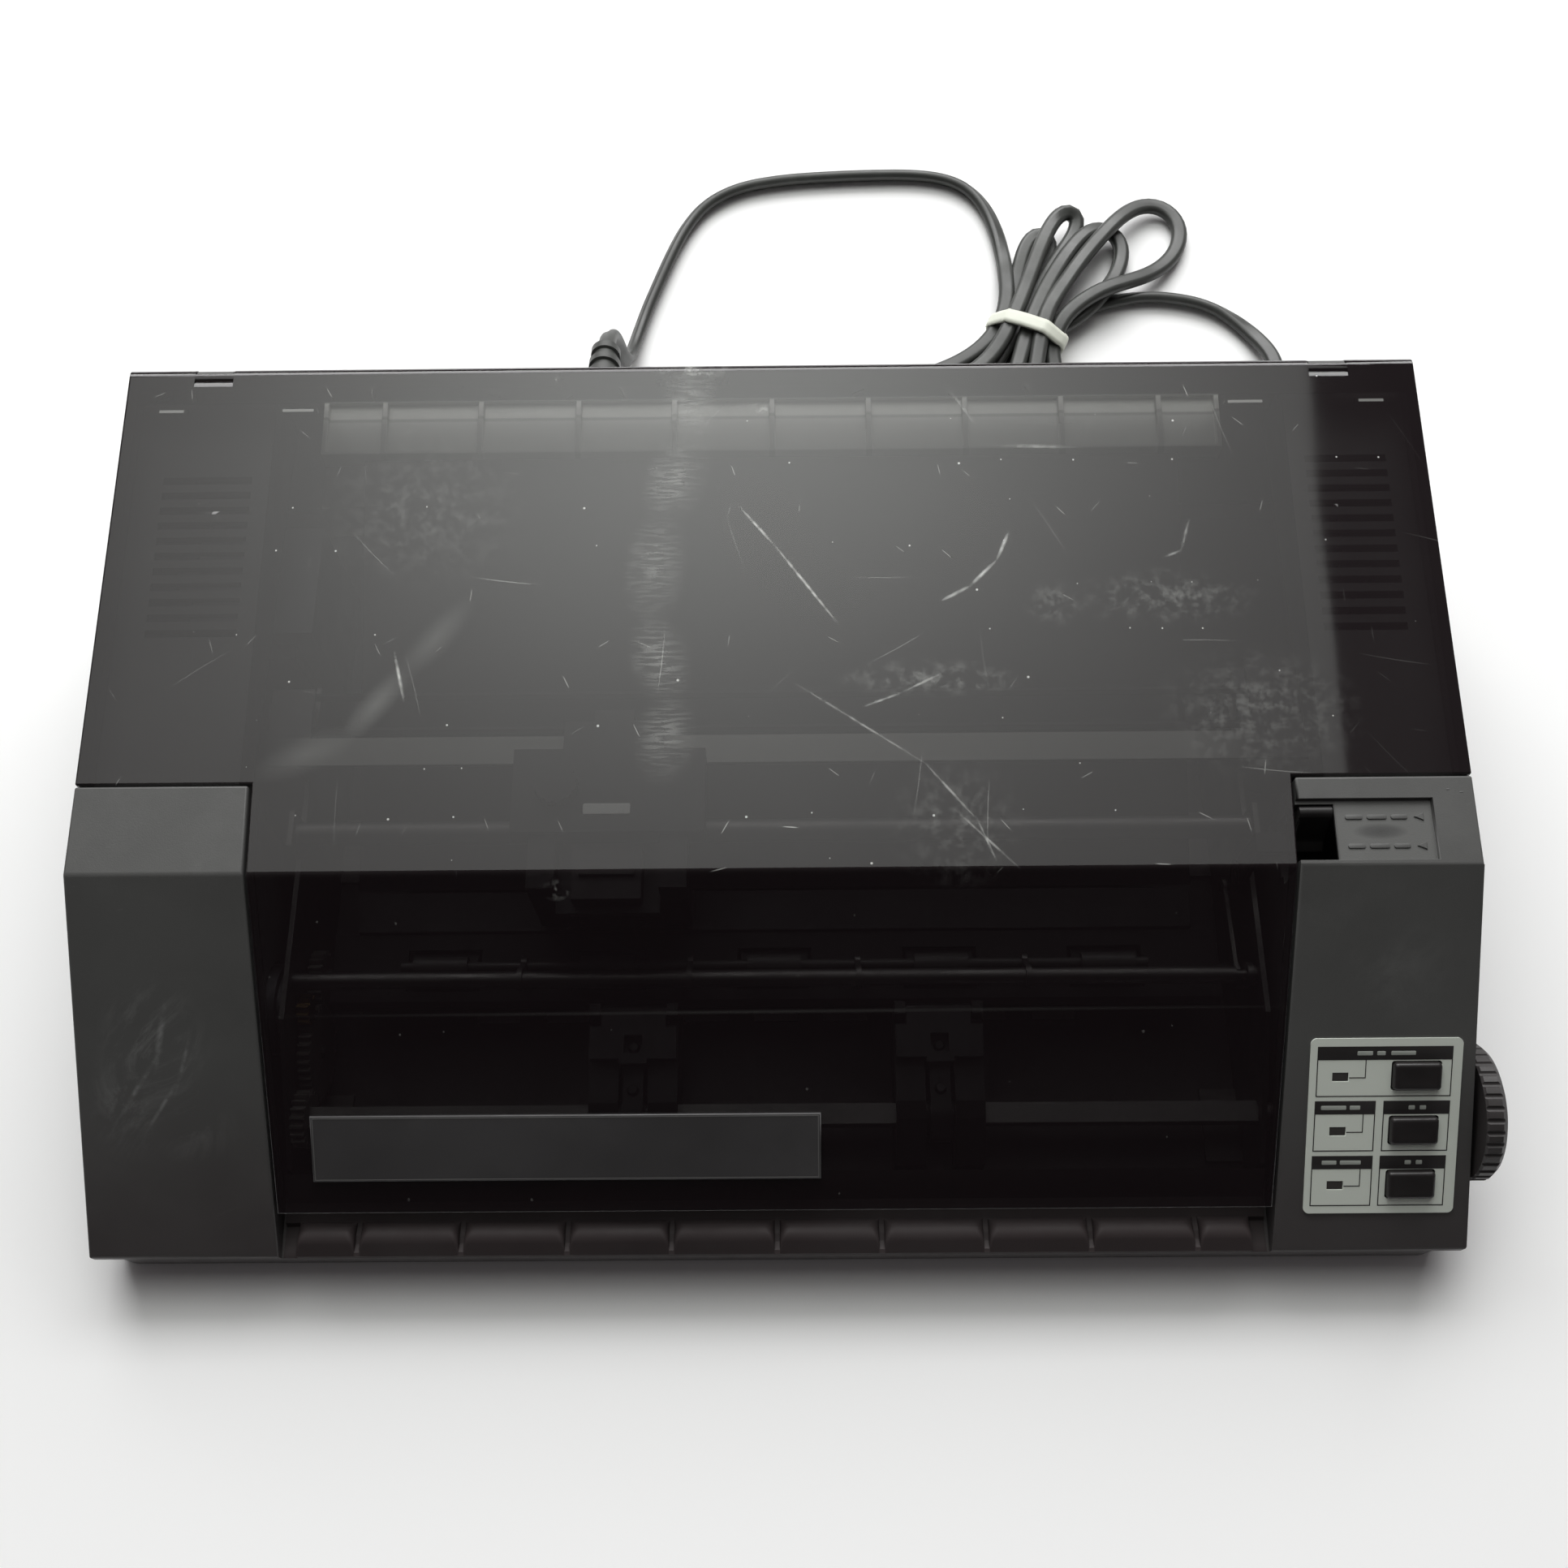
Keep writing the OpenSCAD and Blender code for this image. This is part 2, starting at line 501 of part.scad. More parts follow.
// hinged gate that holds the paper down on the pins
module gate(x) color([0.12, 0.12, 0.12]) difference() {
    union() {
        box(x - 12.8, x + 12.8, 53, 62.6, 38.3, 40.3);
        box(x - 9.5, x + 9.5, 62, 67.5, 38.3, 40.3);
        rodX(x - 9.5, x + 9.5, 67.5, 39.3, 1.5, 32);
        rodX(x - 12.9, x + 12.9, 67.5, 39.3, 0.9, 32);
        box(x - 4, x + 4, 51.6, 53.2, 39, 40.3);
    }
    box(x - 2.7, x + 2.7, 54.6, 60, 38, 41);
}
module gate_left() gate(tractor_lx);
module gate_right() gate(tractor_rx);

// friction and tractor lever: pivots on the right frame and comes up through the pod's slot
module mode_lever() color(C_BLACK) difference() {
    union() {
        exX(139, 141.2) polygon([[102.8, 42], [102.6, 50], [104, 70], [110.6, 70], [109.6, 50], [109.2, 42]]);
        rodX(138.6, 141.2, vy, vz, 5);
        exX(139, 141.2) polygon([[103, 46], [109, 46], [108.2, 34.4], [103.8, 34.4]]);
        rodX(136.6, 139.5, vy, vz - 10, 1.5, 32);
        box(139, 158.2, 104.4, 110.8, 68, 70.4);
        exX(149, 158.2) polygon([[104.4, 68], [104.4, 70.4], [107.2, 72.6], [110.4, 80.6], [111, 82], [112.2, 82.7], [113.6, 82.4], [114.2, 81.4], [114, 74], [110.8, 70.4], [110.8, 68]]);
    }
    rodX(130, 145, vy, vz, 2.55, 40);
}
// link from the lever to the lift shaft's crank
module lift_link() color(C_STEEL) difference() {
    bar2(136.9, 138.1, [vy, vz - 10], [ly, lz - 5], 2.9, 0.85);
    rodX(130, 145, vy, vz - 10, 1.55, 32);
    rodX(130, 145, ly, lz - 5, 1.85, 32);
}
ny = 82;              // the pinch rollers' axis at rest
nz = 37.45;
module lift_shaft() color(C_STEEL) {
    rodX(-143.3, 136, ly, lz, 2.5);
    rodX(136, 139.2, ly, lz, 1.5, 32);
    rodX(139.2, 143.3, ly, lz, 2.5);
    exX(139.2, 141) {
        translate([ly, lz]) circle(3.4, $fn = 48);
        translate([ly - 2.6, lz - 5]) square([5.2, 5]);
        translate([ly, lz - 5]) circle(2.6, $fn = 48);
    }
    rodX(136.6, 139.4, ly, lz - 5, 1.5, 32);
    for (x = [-75, -25, 25, 75]) exX(x - 0.8, x + 0.8) difference() {
        union() {
            translate([ly, lz]) circle(3.4, $fn = 48);
            polygon([[ly - 1.8, lz - 1.6], [ly + 1.8, lz + 1.6], [ny + 1.7, nz + 1.5], [ny - 1.7, nz - 1.5]]);
            translate([ny, nz]) circle(2.9, $fn = 48);
        }
        translate([ny, nz]) circle(1.55, $fn = 32);
    }
}
module pinch_rollers() color([0.7, 0.68, 0.62]) {
    rodX(-112, 112, ny, nz, 1.5, 32);
    for (x = roller_x) rodX(x - 8, x + 8, ny, nz, 3, 40);
}

// ---------------------------------------------------------------- carriage

cx = carriage_x;
module carriage() color([0.09, 0.09, 0.1]) difference() {
    union() {
        rodX(cx - 15, cx + 15, ry, rz, 7);
        difference() {
            box(cx - 15, cx + 15, 89.5, 147.6, 62, 65);
            box(cx - 10.2, cx + 10.2, 91.8, 108.2, 60, 70);
        }
        box(cx - 15, cx + 15, 111, 125, 58, 64);
        // shoe round the rail, and the belt clamp
        box(cx - 15, cx + 15, 147.6, 150.4, 57.4, 65);
        box(cx - 15, cx + 15, 143, 150.4, 57.4, 59.5);
        box(cx - 6, cx + 6, 150, 154, 62, 65);
        box(cx - 6, cx + 6, 152, 154, 54.8, 65);
    }
    rodX(cx - 20, cx + 20, ry, rz, 3.55);
    box(cx - 20, cx + 20, 136, 147.5, 59.6, 62);
}
module print_head() color([0.55, 0.56, 0.58]) {
    hx = cx;
    difference() {
        box(hx - 10, hx + 10, 92, 108, 44, 70.5);
        for (z = [46.5:3:59]) {
            box(hx - 11, hx - 7.5, 90, 110, z, z + 1.4);
            box(hx + 7.5, hx + 11, 90, 110, z, z + 1.4);
        }
    }
    exX(hx - 3.5, hx + 3.5) polygon([[95, 44.5], [97.6, 36.4], [102.4, 36.4], [105, 44.5]]);
    color(C_BLACK) box(hx - 8, hx + 8, 99, 106, 70.5, 71.8);
}
module ribbon_cartridge() color(C_BLACK) {
    difference() {
        union() {
            box(cx - 28, cx + 28, 111, 137, 65, 74.5);
            for (s = [-1, 1]) {
                box(cx + s * 19 - 4, cx + s * 19 + 4, 95, 112, 65.2, 71.5);
                box(cx + s * 19 - 4, cx + s * 19 + 4, 95, 103.6, 36.6, 66);
            }
        }
        rodZ(cx - 15, 125, 70, 80, 2.05);
    }
    box(cx - 15.2, cx + 15.2, 96.5, 102, 35.5, 35.75);
    for (s = [-1, 1]) box(cx + s * 17 - 2, cx + s * 17 + 2, 96.5, 102, 35.5, 36.8);
}
module ribbon_knob() color([0.13, 0.13, 0.14]) {
    rodZ(cx - 15, 125, 70.2, 74.8, 2);
    difference() {
        rodZ(cx - 15, 125, 74.8, 78.4, 6.4, 64);
        for (i = [0:11]) translate([cx - 15, 125, 74]) rotate([0, 0, i * 30]) translate([6.9, 0, 0]) cylinder(h = 6, r = 1, $fn = 16);
    }
}
module guide_rod() color(C_STEEL) rodX(-143.4, 143.4, ry, rz, 3.5);
module carriage_rail() color([0.6, 0.6, 0.58]) {
    box(-153, 175.5, 138, 147, 60, 61.6);
    box(-153, -140, 147, 163.5, 60, 61.6);
    box(145, 175.5, 147, 171.5, 60, 61.6);
    rodZ(wl, wy, 53.4, 60, 1.5, 32);
}
module carriage_motor() color([0.35, 0.36, 0.38]) difference() {
    union() {
        rodZ(wr, wy, 20, 50.5, 13.8, 64);
        box(wr - 15.5, wr + 15.5, wy - 14.5, wy + 14.5, 50.5, 52);
        rodZ(wr, wy, 52, 53, 5);
        for (s = [-1, 1]) rodZ(wr + s * 13, wy - 12.5, 52, 60, 2, 24);
    }
    rodZ(wr, wy, 41, 54, 1.55, 32);
}
module pulley(x) {
    rodZ(x, wy, 54.3, 59.6, 5, 64);
    rodZ(x, wy, 54.3, 54.9, 6.9);
    rodZ(x, wy, 59.2, 59.6, 6.9);
}
module drive_pulley() color([0.8, 0.78, 0.7]) {
    pulley(wr);
    rodZ(wr, wy, 42, 54.3, 1.5, 32);
}
module idler_pulley() color([0.8, 0.78, 0.7]) difference() {
    pulley(wl);
    rodZ(wl, wy, 50, 62, 1.55, 32);
}
module belt_outline(r) {
    translate([wl, wy]) circle(r, $fn = 64);
    translate([wr, wy]) circle(r, $fn = 64);
    translate([wl, wy - r]) square([wr - wl, 2 * r]);
}
module timing_belt() color(C_BLACK) translate([0, 0, 55.2]) linear_extrude(3.7) difference() {
    belt_outline(6.3);
    belt_outline(5.3);
}
// ---------------------------------------------------------------- electrics

module main_board() {
    color([0.12, 0.34, 0.18]) box(-121, 122, 115, 243.5, 9, 10.6);
    for (c = [[-60, 150, 50, 14], [0, 150, 50, 14], [-60, 180, 36, 14], [-10, 180, 50, 14], [60, 150, 16, 38], [-60, 210, 20, 8], [-30, 210, 20, 8], [0, 210, 20, 8]])
        color(C_BLACK) box(c[0], c[0] + c[2], c[1], c[1] + c[3], 10.6, 14.4);
    for (p = [[-100, 150], [-100, 180]]) color([0.15, 0.2, 0.3]) rodZ(p[0], p[1], 10.6, 32, 9);
    color([0.7, 0.7, 0.72]) box(-118, -82, 205, 208, 10.6, 40);
    color([0.7, 0.7, 0.72]) box(-118, -82, 215, 218, 10.6, 40);
    color([0.7, 0.7, 0.72]) box(-118, -82, 208, 215, 10.6, 13);
    for (x = [84, 96, 108]) color([0.85, 0.84, 0.78]) box(x, x + 8, 122, 130, 10.6, 22);
}
module transformer() {
    color([0.3, 0.3, 0.32]) box(-185, -141.5, 176, 234, 5.5, 8);
    color([0.36, 0.36, 0.38]) difference() {
        box(-184, -145, 186, 224, 8, 56);
        box(-177, -171, 180, 230, 16, 48);
        box(-158, -152, 180, 230, 16, 48);
    }
    color([0.75, 0.6, 0.2]) {
        box(-177, -152, 181, 186, 16, 48);
        box(-177, -152, 224, 229, 16, 48);
    }
}

// ---------------------------------------------------------------- mains lead

cord_r = 3.1;
relief_tilt = -15;
module strain_relief() color(C_CORD) translate([-57, body_d, 60]) rotate([relief_tilt, 0, 0]) rotate([-90, 0, 0]) difference() {
    union() {
        rotate_extrude($fn = 48) polygon([[0, 0.6], [5.1, 0.6], [5.1, 3], [6.8, 3], [6.8, 7], [5.4, 7.6], [4.1, 37], [4.1, 40], [0, 40]]);
        for (i = [0:4]) translate([0, 0, 11 + i * 6.4]) rotate_extrude($fn = 48) polygon([[3.9, 0], [6.4 - i * 0.35, 0.4], [6.4 - i * 0.35, 3.2], [3.9, 3.6]]);
    }
    translate([0, 0, 38]) cylinder(h = 4, r = 3.15, $fn = 32);
}

lead_pts = [[-57, 297.2, 49.9], [-57, 302, 48], [-57, 307, 45], [-56.8, 311, 41], [-56.5, 314, 36], [-56, 315.6, 31], [-55.6, 316.4, 26], [-55, 317.4, 21], [-54.4, 319.4, 16],
    [-54.2, 322.6, 11], [-53.8, 327.4, 7], [-52.8, 334, 4.6], [-51, 342, 3.6], [-48.4, 352, 3.2], [-44.4, 364.4, 3.2], [-39.6, 378.4, 3.2], [-34.2, 391.4, 3.2], [-26.4, 403, 3.2],
    [-14, 411, 3.2], [3, 415, 3.2], [22, 416.6, 3.2], [40, 417.2, 3.2], [55.4, 417, 3.2], [67.4, 415, 3.2], [76.4, 410.2, 3.2], [82.8, 401.6, 3.2], [86.8, 390, 3.2], [89, 376, 3.2], [89.8, 362, 3.2], [89.8, 354, 3.2]];
tail_pts = [[106.5, 350.2, 3.6], [113, 350.4, 3.4], [122, 352.2, 3.2], [132, 355, 3.2], [143, 356.4, 3.2], [154, 355.4, 3.2], [164, 352.6, 3.2], [173, 347, 3.2], [180.6, 338.4, 3.6], [185.4, 329.4, 5.2], [187, 322.4, 6.4], [187, 318.6, 6.4]];

function unit(v) = v / norm(v);
function rot_ring(c, t, r, n) = let (u = unit(cross(t, [0, 0, 1])), w = cross(u, t)) [for (k = [0:n - 1]) c + r * cos(k * 360 / n) * u + r * sin(k * 360 / n) * w];
module tube(pts, r, n) {
    m = len(pts);
    rings = [for (i = [0:m - 1]) rot_ring(pts[i], unit(i == 0 ? pts[1] - pts[0] : i == m - 1 ? pts[m - 1] - pts[m - 2] : pts[i + 1] - pts[i - 1]), r, n)];
    polyhedron(points = [for (g = rings) each g], faces = concat(
        [[for (k = [0:n - 1]) k]], [[for (k = [n - 1:-1:0]) (m - 1) * n + k]],
        [for (i = [0:m - 2], k = [0:n - 1]) [i * n + k, (i + 1) * n + k, (i + 1) * n + (k + 1) % n, i * n + (k + 1) % n]]), convexity = 6);
}
module cord_lead() color(C_CORD) tube(lead_pts, cord_r, 10);
module cord_tail() color(C_CORD) tube(tail_pts, cord_r, 10);

// outer shape of the hank: its runs and loops behind the tie, and those between the tie and the printer
module cord_hank() color(C_CORD) {
    linear_extrude(15) {
        polygon([[93.4, 354], [106.5, 354], [121, 356.6], [132, 359], [143, 361], [158, 368.6], [165, 383], [163, 396], [154, 404.4], [140, 402.4], [127, 396], [112, 396.6], [98, 394.6], [93.4, 376]]);
        polygon([[80.4, 339.3], [105.4, 327.7], [112, 318], [112.4, 286], [106, 272], [90, 264.8], [68, 264.8], [50, 270], [41, 290], [41, 312], [52, 321], [72, 328.6]]);
    }
    translate([0, 0, 1]) linear_extrude(13) polygon([[80.9, 336.5], [82.2, 339.2], [84.7, 344.6], [86.5, 354], [106.5, 354], [106.5, 334], [104.3, 328.9], [103.2, 326.1]]);
}
module cord_tie() color([0.88, 0.88, 0.82]) translate([94.5, 336.6, 0]) rotate(-24.8) difference() {
    box(-13.8, 13.8, -3, 3, 0, 15);
    box(-12.5, 12.5, -4, 4, 1, 14);
}
// flat two-pin plug lying behind the printer, pins towards the left
module plug() {
    color(C_BLACK) {
        translate([187, 318.6, 6.4]) rotate([90, 0, 0]) rotate_extrude($fn = 40) polygon([[0, 0], [3.7, 0], [5.2, 10], [5.2, 14], [0, 14]]);
        linear_extrude(13.2) rrect(170.4, 203.6, 268, 306, 7);
    }
    for (s = [-1, 1]) color(C_STEEL) translate([187 + s * 9.3, 281, 13.2]) {
        cylinder(h = 18.2, r = 2, $fn = 32);
        translate([0, 0, 18.2]) cylinder(h = 0.8, r1 = 2, r2 = 1.3, $fn = 32);
    }
}

place() {
    lower_case();
    upper_case();
    front_sill();
    rear_guide();
    feet();
    case_screws();
    strain_relief();
    lid();
    hinge_pins();
    nameplate();
    label_panel();
    button_online();
    button_form_feed();
    button_line_feed();
    control_board();
    switch_body();
    power_rocker();
    parallel_port();
    frame_left();
    frame_right();
    paper_table();
    platen_bar();
    paper_chute();
    feed_shaft();
    knob();
    feed_gear();
    idler_gear();
    motor_pinion();
    feed_motor();
    friction_shaft();
    friction_rollers();
    friction_gear();
    tractor_rod();
    tractor_left();
    tractor_right();
    sprocket_left();
    sprocket_right();
    gate_left();
    gate_right();
    mode_lever();
    lift_link();
    lift_shaft();
    pinch_rollers();
    carriage();
    print_head();
    ribbon_cartridge();
    ribbon_knob();
    guide_rod();
    carriage_rail();
    carriage_motor();
    drive_pulley();
    idler_pulley();
    timing_belt();
    main_board();
    transformer();
    cord_lead();
    cord_hank();
    cord_tie();
    cord_tail();
    plug();
}
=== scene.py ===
import bpy, bmesh, json, math
import numpy as np
from mathutils import Vector, Matrix


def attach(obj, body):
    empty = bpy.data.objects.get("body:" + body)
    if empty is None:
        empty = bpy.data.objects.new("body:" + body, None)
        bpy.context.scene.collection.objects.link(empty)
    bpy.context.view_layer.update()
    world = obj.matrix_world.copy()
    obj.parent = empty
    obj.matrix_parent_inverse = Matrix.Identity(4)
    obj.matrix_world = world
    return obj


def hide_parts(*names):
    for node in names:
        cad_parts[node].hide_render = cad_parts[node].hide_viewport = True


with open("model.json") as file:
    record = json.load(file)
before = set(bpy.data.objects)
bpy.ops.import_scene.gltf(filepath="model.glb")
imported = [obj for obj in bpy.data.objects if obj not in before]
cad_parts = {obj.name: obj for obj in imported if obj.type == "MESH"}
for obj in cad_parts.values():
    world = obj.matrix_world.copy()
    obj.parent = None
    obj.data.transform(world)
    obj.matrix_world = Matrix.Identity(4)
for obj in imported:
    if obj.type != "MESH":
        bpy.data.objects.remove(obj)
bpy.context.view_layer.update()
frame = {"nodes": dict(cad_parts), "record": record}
NODE = frame["nodes"]
scene = bpy.context.scene
scene.view_settings.view_transform = "Standard"


def W(x, y, z):
    """A point given in millimetres from the printer's mid-plane, front wall and floor, as a point of the row frame in metres."""
    return Vector(((x - 4.0) / 1000, (y - 129.5) / 1000, z / 1000))


# the case's shape, as in the part's source
Z0, YB, ZB, ZR = 19.0, 96.5, 81.5, 95.0
KF, KT = (ZB - Z0) / YB, (ZR - ZB) / (259 - YB)
CF, CT = math.sqrt(1 + KF * KF), math.sqrt(1 + KT * KT)
AF, AT = math.atan(KF), math.atan(KT)
fs = lambda y, o=0.0: Z0 + KF * y - o * CF
tp = lambda y, o=0.0: ZB + KT * (y - YB) - o * CT
hw = lambda z: 201 - (z - Z0) * math.tan(math.radians(2))
podl = lambda y: 145.48 + 0.02924 * y
podr = lambda y: 144.54 + 0.03275 * y
HY, HZ = 255.6, 91.3
onF = lambda x, s, d=0.0: W(x, s * math.cos(AF) - d * math.sin(AF), Z0 + s * math.sin(AF) + d * math.cos(AF))
onT = lambda x, s, d=0.0: W(x, YB + s * math.cos(AT) - d * math.sin(AT), ZB + s * math.sin(AT) + d * math.cos(AT))

# ------------------------------------------------------------------ camera
cam_data = bpy.data.cameras.new("view")
cam = bpy.data.objects.new("view", cam_data)
scene.collection.objects.link(cam)
el, az, roll = math.radians(67.25), math.radians(0.89), math.radians(-1.30)
back = Vector((math.sin(az) * math.cos(el), -math.cos(az) * math.cos(el), math.sin(el)))
right = (-back).cross(Vector((0, 0, 1))).normalized()
up = right.cross(-back)
r2 = math.cos(roll) * right + math.sin(roll) * up
u2 = -math.sin(roll) * right + math.cos(roll) * up
cam.matrix_world = Matrix.Translation(W(6.4, -61.3, 519.5)) @ Matrix((r2, u2, back)).transposed().to_4x4()
cam_data.sensor_width = 36
cam_data.lens = 2050 / 1932 * 36
cam_data.clip_start, cam_data.clip_end = 0.01, 20
scene.camera = cam


# ------------------------------------------------------------------ mesh helpers
def obj_from(name, verts, faces, smooth=True):
    me = bpy.data.meshes.new(name)
    me.from_pydata([tuple(v) for v in verts], [], faces)
    me.update()
    o = bpy.data.objects.new(name, me)
    scene.collection.objects.link(o)
    for p in me.polygons:
        p.use_smooth = smooth
    return o


def put(o, material, body, slot, *nodes):
    """Gives a new piece its material and body, and hides the CAD nodes it stands for; slot is not used."""
    o.data.materials.clear()
    o.data.materials.append(material)
    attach(o, body)
    if nodes:
        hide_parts(*nodes)
    return o


def resample(L, step):
    d = np.r_[0, np.cumsum(np.linalg.norm(np.diff(L, axis=0), axis=1))]
    n = max(2, int(round(d[-1] / step)))
    s = np.linspace(0, d[-1], n + 1)
    return np.stack([np.interp(s, d, L[:, k]) for k in range(3)], 1)


def smooth_line(pts, step):
    """Centripetal Catmull-Rom line through the points, resampled evenly."""
    P = np.array(pts, float)
    P = np.vstack([2 * P[0] - P[1], P, 2 * P[-1] - P[-2]])
    out = []
    for i in range(1, len(P) - 2):
        p0, p1, p2, p3 = P[i - 1:i + 3]
        t = [0.0]
        for a, b in ((p0, p1), (p1, p2), (p2, p3)):
            t.append(t[-1] + max(np.linalg.norm(b - a), 1e-6) ** 0.5)
        for u in np.linspace(t[1], t[2], 14, endpoint=False):
            a1 = (t[1] - u) / (t[1] - t[0]) * p0 + (u - t[0]) / (t[1] - t[0]) * p1
            a2 = (t[2] - u) / (t[2] - t[1]) * p1 + (u - t[1]) / (t[2] - t[1]) * p2
            a3 = (t[3] - u) / (t[3] - t[2]) * p2 + (u - t[2]) / (t[3] - t[2]) * p3
            b1 = (t[2] - u) / (t[2] - t[0]) * a1 + (u - t[0]) / (t[2] - t[0]) * a2
            b2 = (t[3] - u) / (t[3] - t[1]) * a2 + (u - t[1]) / (t[3] - t[1]) * a3
            out.append((t[2] - u) / (t[2] - t[1]) * b1 + (u - t[1]) / (t[2] - t[1]) * b2)
    out.append(P[-2])
    return resample(np.array(out), step)


def frames_of(L):
    """Tangent, side and top directions along a line, the side kept level where the line allows."""
    T = np.gradient(L, axis=0)
    T /= np.linalg.norm(T, axis=1)[:, None]
    side = np.zeros_like(T)
    prev = np.array([1.0, 0, 0])
    for i, t in enumerate(T):
        flat = np.cross(t, [0, 0, 1.0])
        k = np.linalg.norm(flat)
        carried = prev - t * (prev @ t)
        carried /= np.linalg.norm(carried)
        if k > 1e-6:
            flat = flat / k
            if flat @ carried < 0:
                flat = -flat
            w = min(1.0, k * k) * 0.35
            s = carried * (1 - w) + flat * w
        else:
            s = carried
        s -= t * (s @ t)
        s /= np.linalg.norm(s)
        side[i] = prev = s
    return T, side, np.cross(side, T)


def oval_tube(name, L, half_w, half_t, n=20, groove=0.0, turn=None):
    """A tube of oval section along the line L (millimetres), with an optional shallow groove along both flat sides; turn gives the section's roll at each point."""
    T, S, U = frames_of(L)
    if turn is not None:
        c_, s_ = np.cos(turn)[:, None], np.sin(turn)[:, None]
        S, U = S * c_ + U * s_, U * c_ - S * s_
    V, F = [], []
    for c, s, u in zip(L, S, U):
        for k in range(n):
            a = 2 * math.pi * k / n
            ca, sa = math.cos(a), math.sin(a)
            x = half_w * (abs(ca) ** 0.85) * (1 if ca >= 0 else -1)
            y = half_t * (abs(sa) ** 0.85) * (1 if sa >= 0 else -1)
            y *= 1 - groove * math.exp(-(x / (0.28 * half_w)) ** 2)
            V.append(W(*(c + s * x + u * y)))
    m = len(L)
    for i in range(m - 1):
        for k in range(n):
            F.append((i * n + k, i * n + (k + 1) % n, (i + 1) * n + (k + 1) % n, (i + 1) * n + k))
    F.append(tuple(range(n - 1, -1, -1)))
    F.append(tuple((m - 1) * n + k for k in range(n)))
    return obj_from(name, V, F)


def rr_ring(x0, x1, y0, y1, r, n=6):
    """Points round a rounded rectangle, anticlockwise."""
    out = []
    for cx, cy, a0 in ((x1 - r, y1 - r, 0), (x0 + r, y1 - r, 90), (x0 + r, y0 + r, 180), (x1 - r, y0 + r, 270)):
        for k in range(n + 1):
            a = math.radians(a0 + 90 * k / n)
            out.append((cx + r * math.cos(a), cy + r * math.sin(a)))
    return out


class Solid:
    """Collects vertices and faces of several closed shapes that make one piece."""

    def __init__(self):
        self.V, self.F = [], []

    def loft(self, rings, close=True):
        """Joins rings of equal count into a closed shell, capped at both ends."""
        b, n = len(self.V), len(rings[0])
        for r in rings:
            self.V += [tuple(p) for p in r]
        for i in range(len(rings) - 1):
            for k in range(n):
                k2 = (k + 1) % n
                self.F.append((b + i * n + k, b + i * n + k2, b + (i + 1) * n + k2, b + (i + 1) * n + k))
        if close:
            self.F.append(tuple(b + k for k in range(n - 1, -1, -1)))
            self.F.append(tuple(b + (len(rings) - 1) * n + k for k in range(n)))

    def make(self, name, sharp=32, recalc=True):
        o = obj_from(name, self.V, self.F)
        if recalc:
            bm = bmesh.new()
            bm.from_mesh(o.data)
            bmesh.ops.recalc_face_normals(bm, faces=bm.faces)
            bm.to_mesh(o.data)
            bm.free()
        o.data.set_sharp_from_angle(angle=math.radians(sharp))
        return o


# ------------------------------------------------------------------ mains lead
LEAD = [[-57, 295.4, 50.3], [-57, 297.2, 49.9], [-57, 302, 48], [-57, 307, 45], [-56.8, 311, 41], [-56.5, 314, 36], [-56, 315.6, 31], [-55.6, 316.4, 26], [-55, 317.4, 21], [-54.4, 319.4, 16],
        [-54.2, 322.6, 11], [-53.8, 327.4, 7], [-52.8, 334, 4.4], [-51, 342, 3.2], [-48.4, 352, 2.7], [-44.4, 364.4, 2.6], [-39.6, 378.4, 2.6], [-34.2, 391.4, 2.6], [-26.4, 403, 2.6],
        [-14, 411, 2.6], [3, 415, 2.6], [22, 416.6, 2.6], [40, 417.2, 2.6], [55.4, 417, 2.6], [67.4, 415, 2.6], [76.4, 410.2, 2.6], [82.8, 401.6, 2.6], [86.8, 390, 2.6], [89, 376, 2.9], [89.8, 363, 3.6], [89.6, 354, 5.0]]
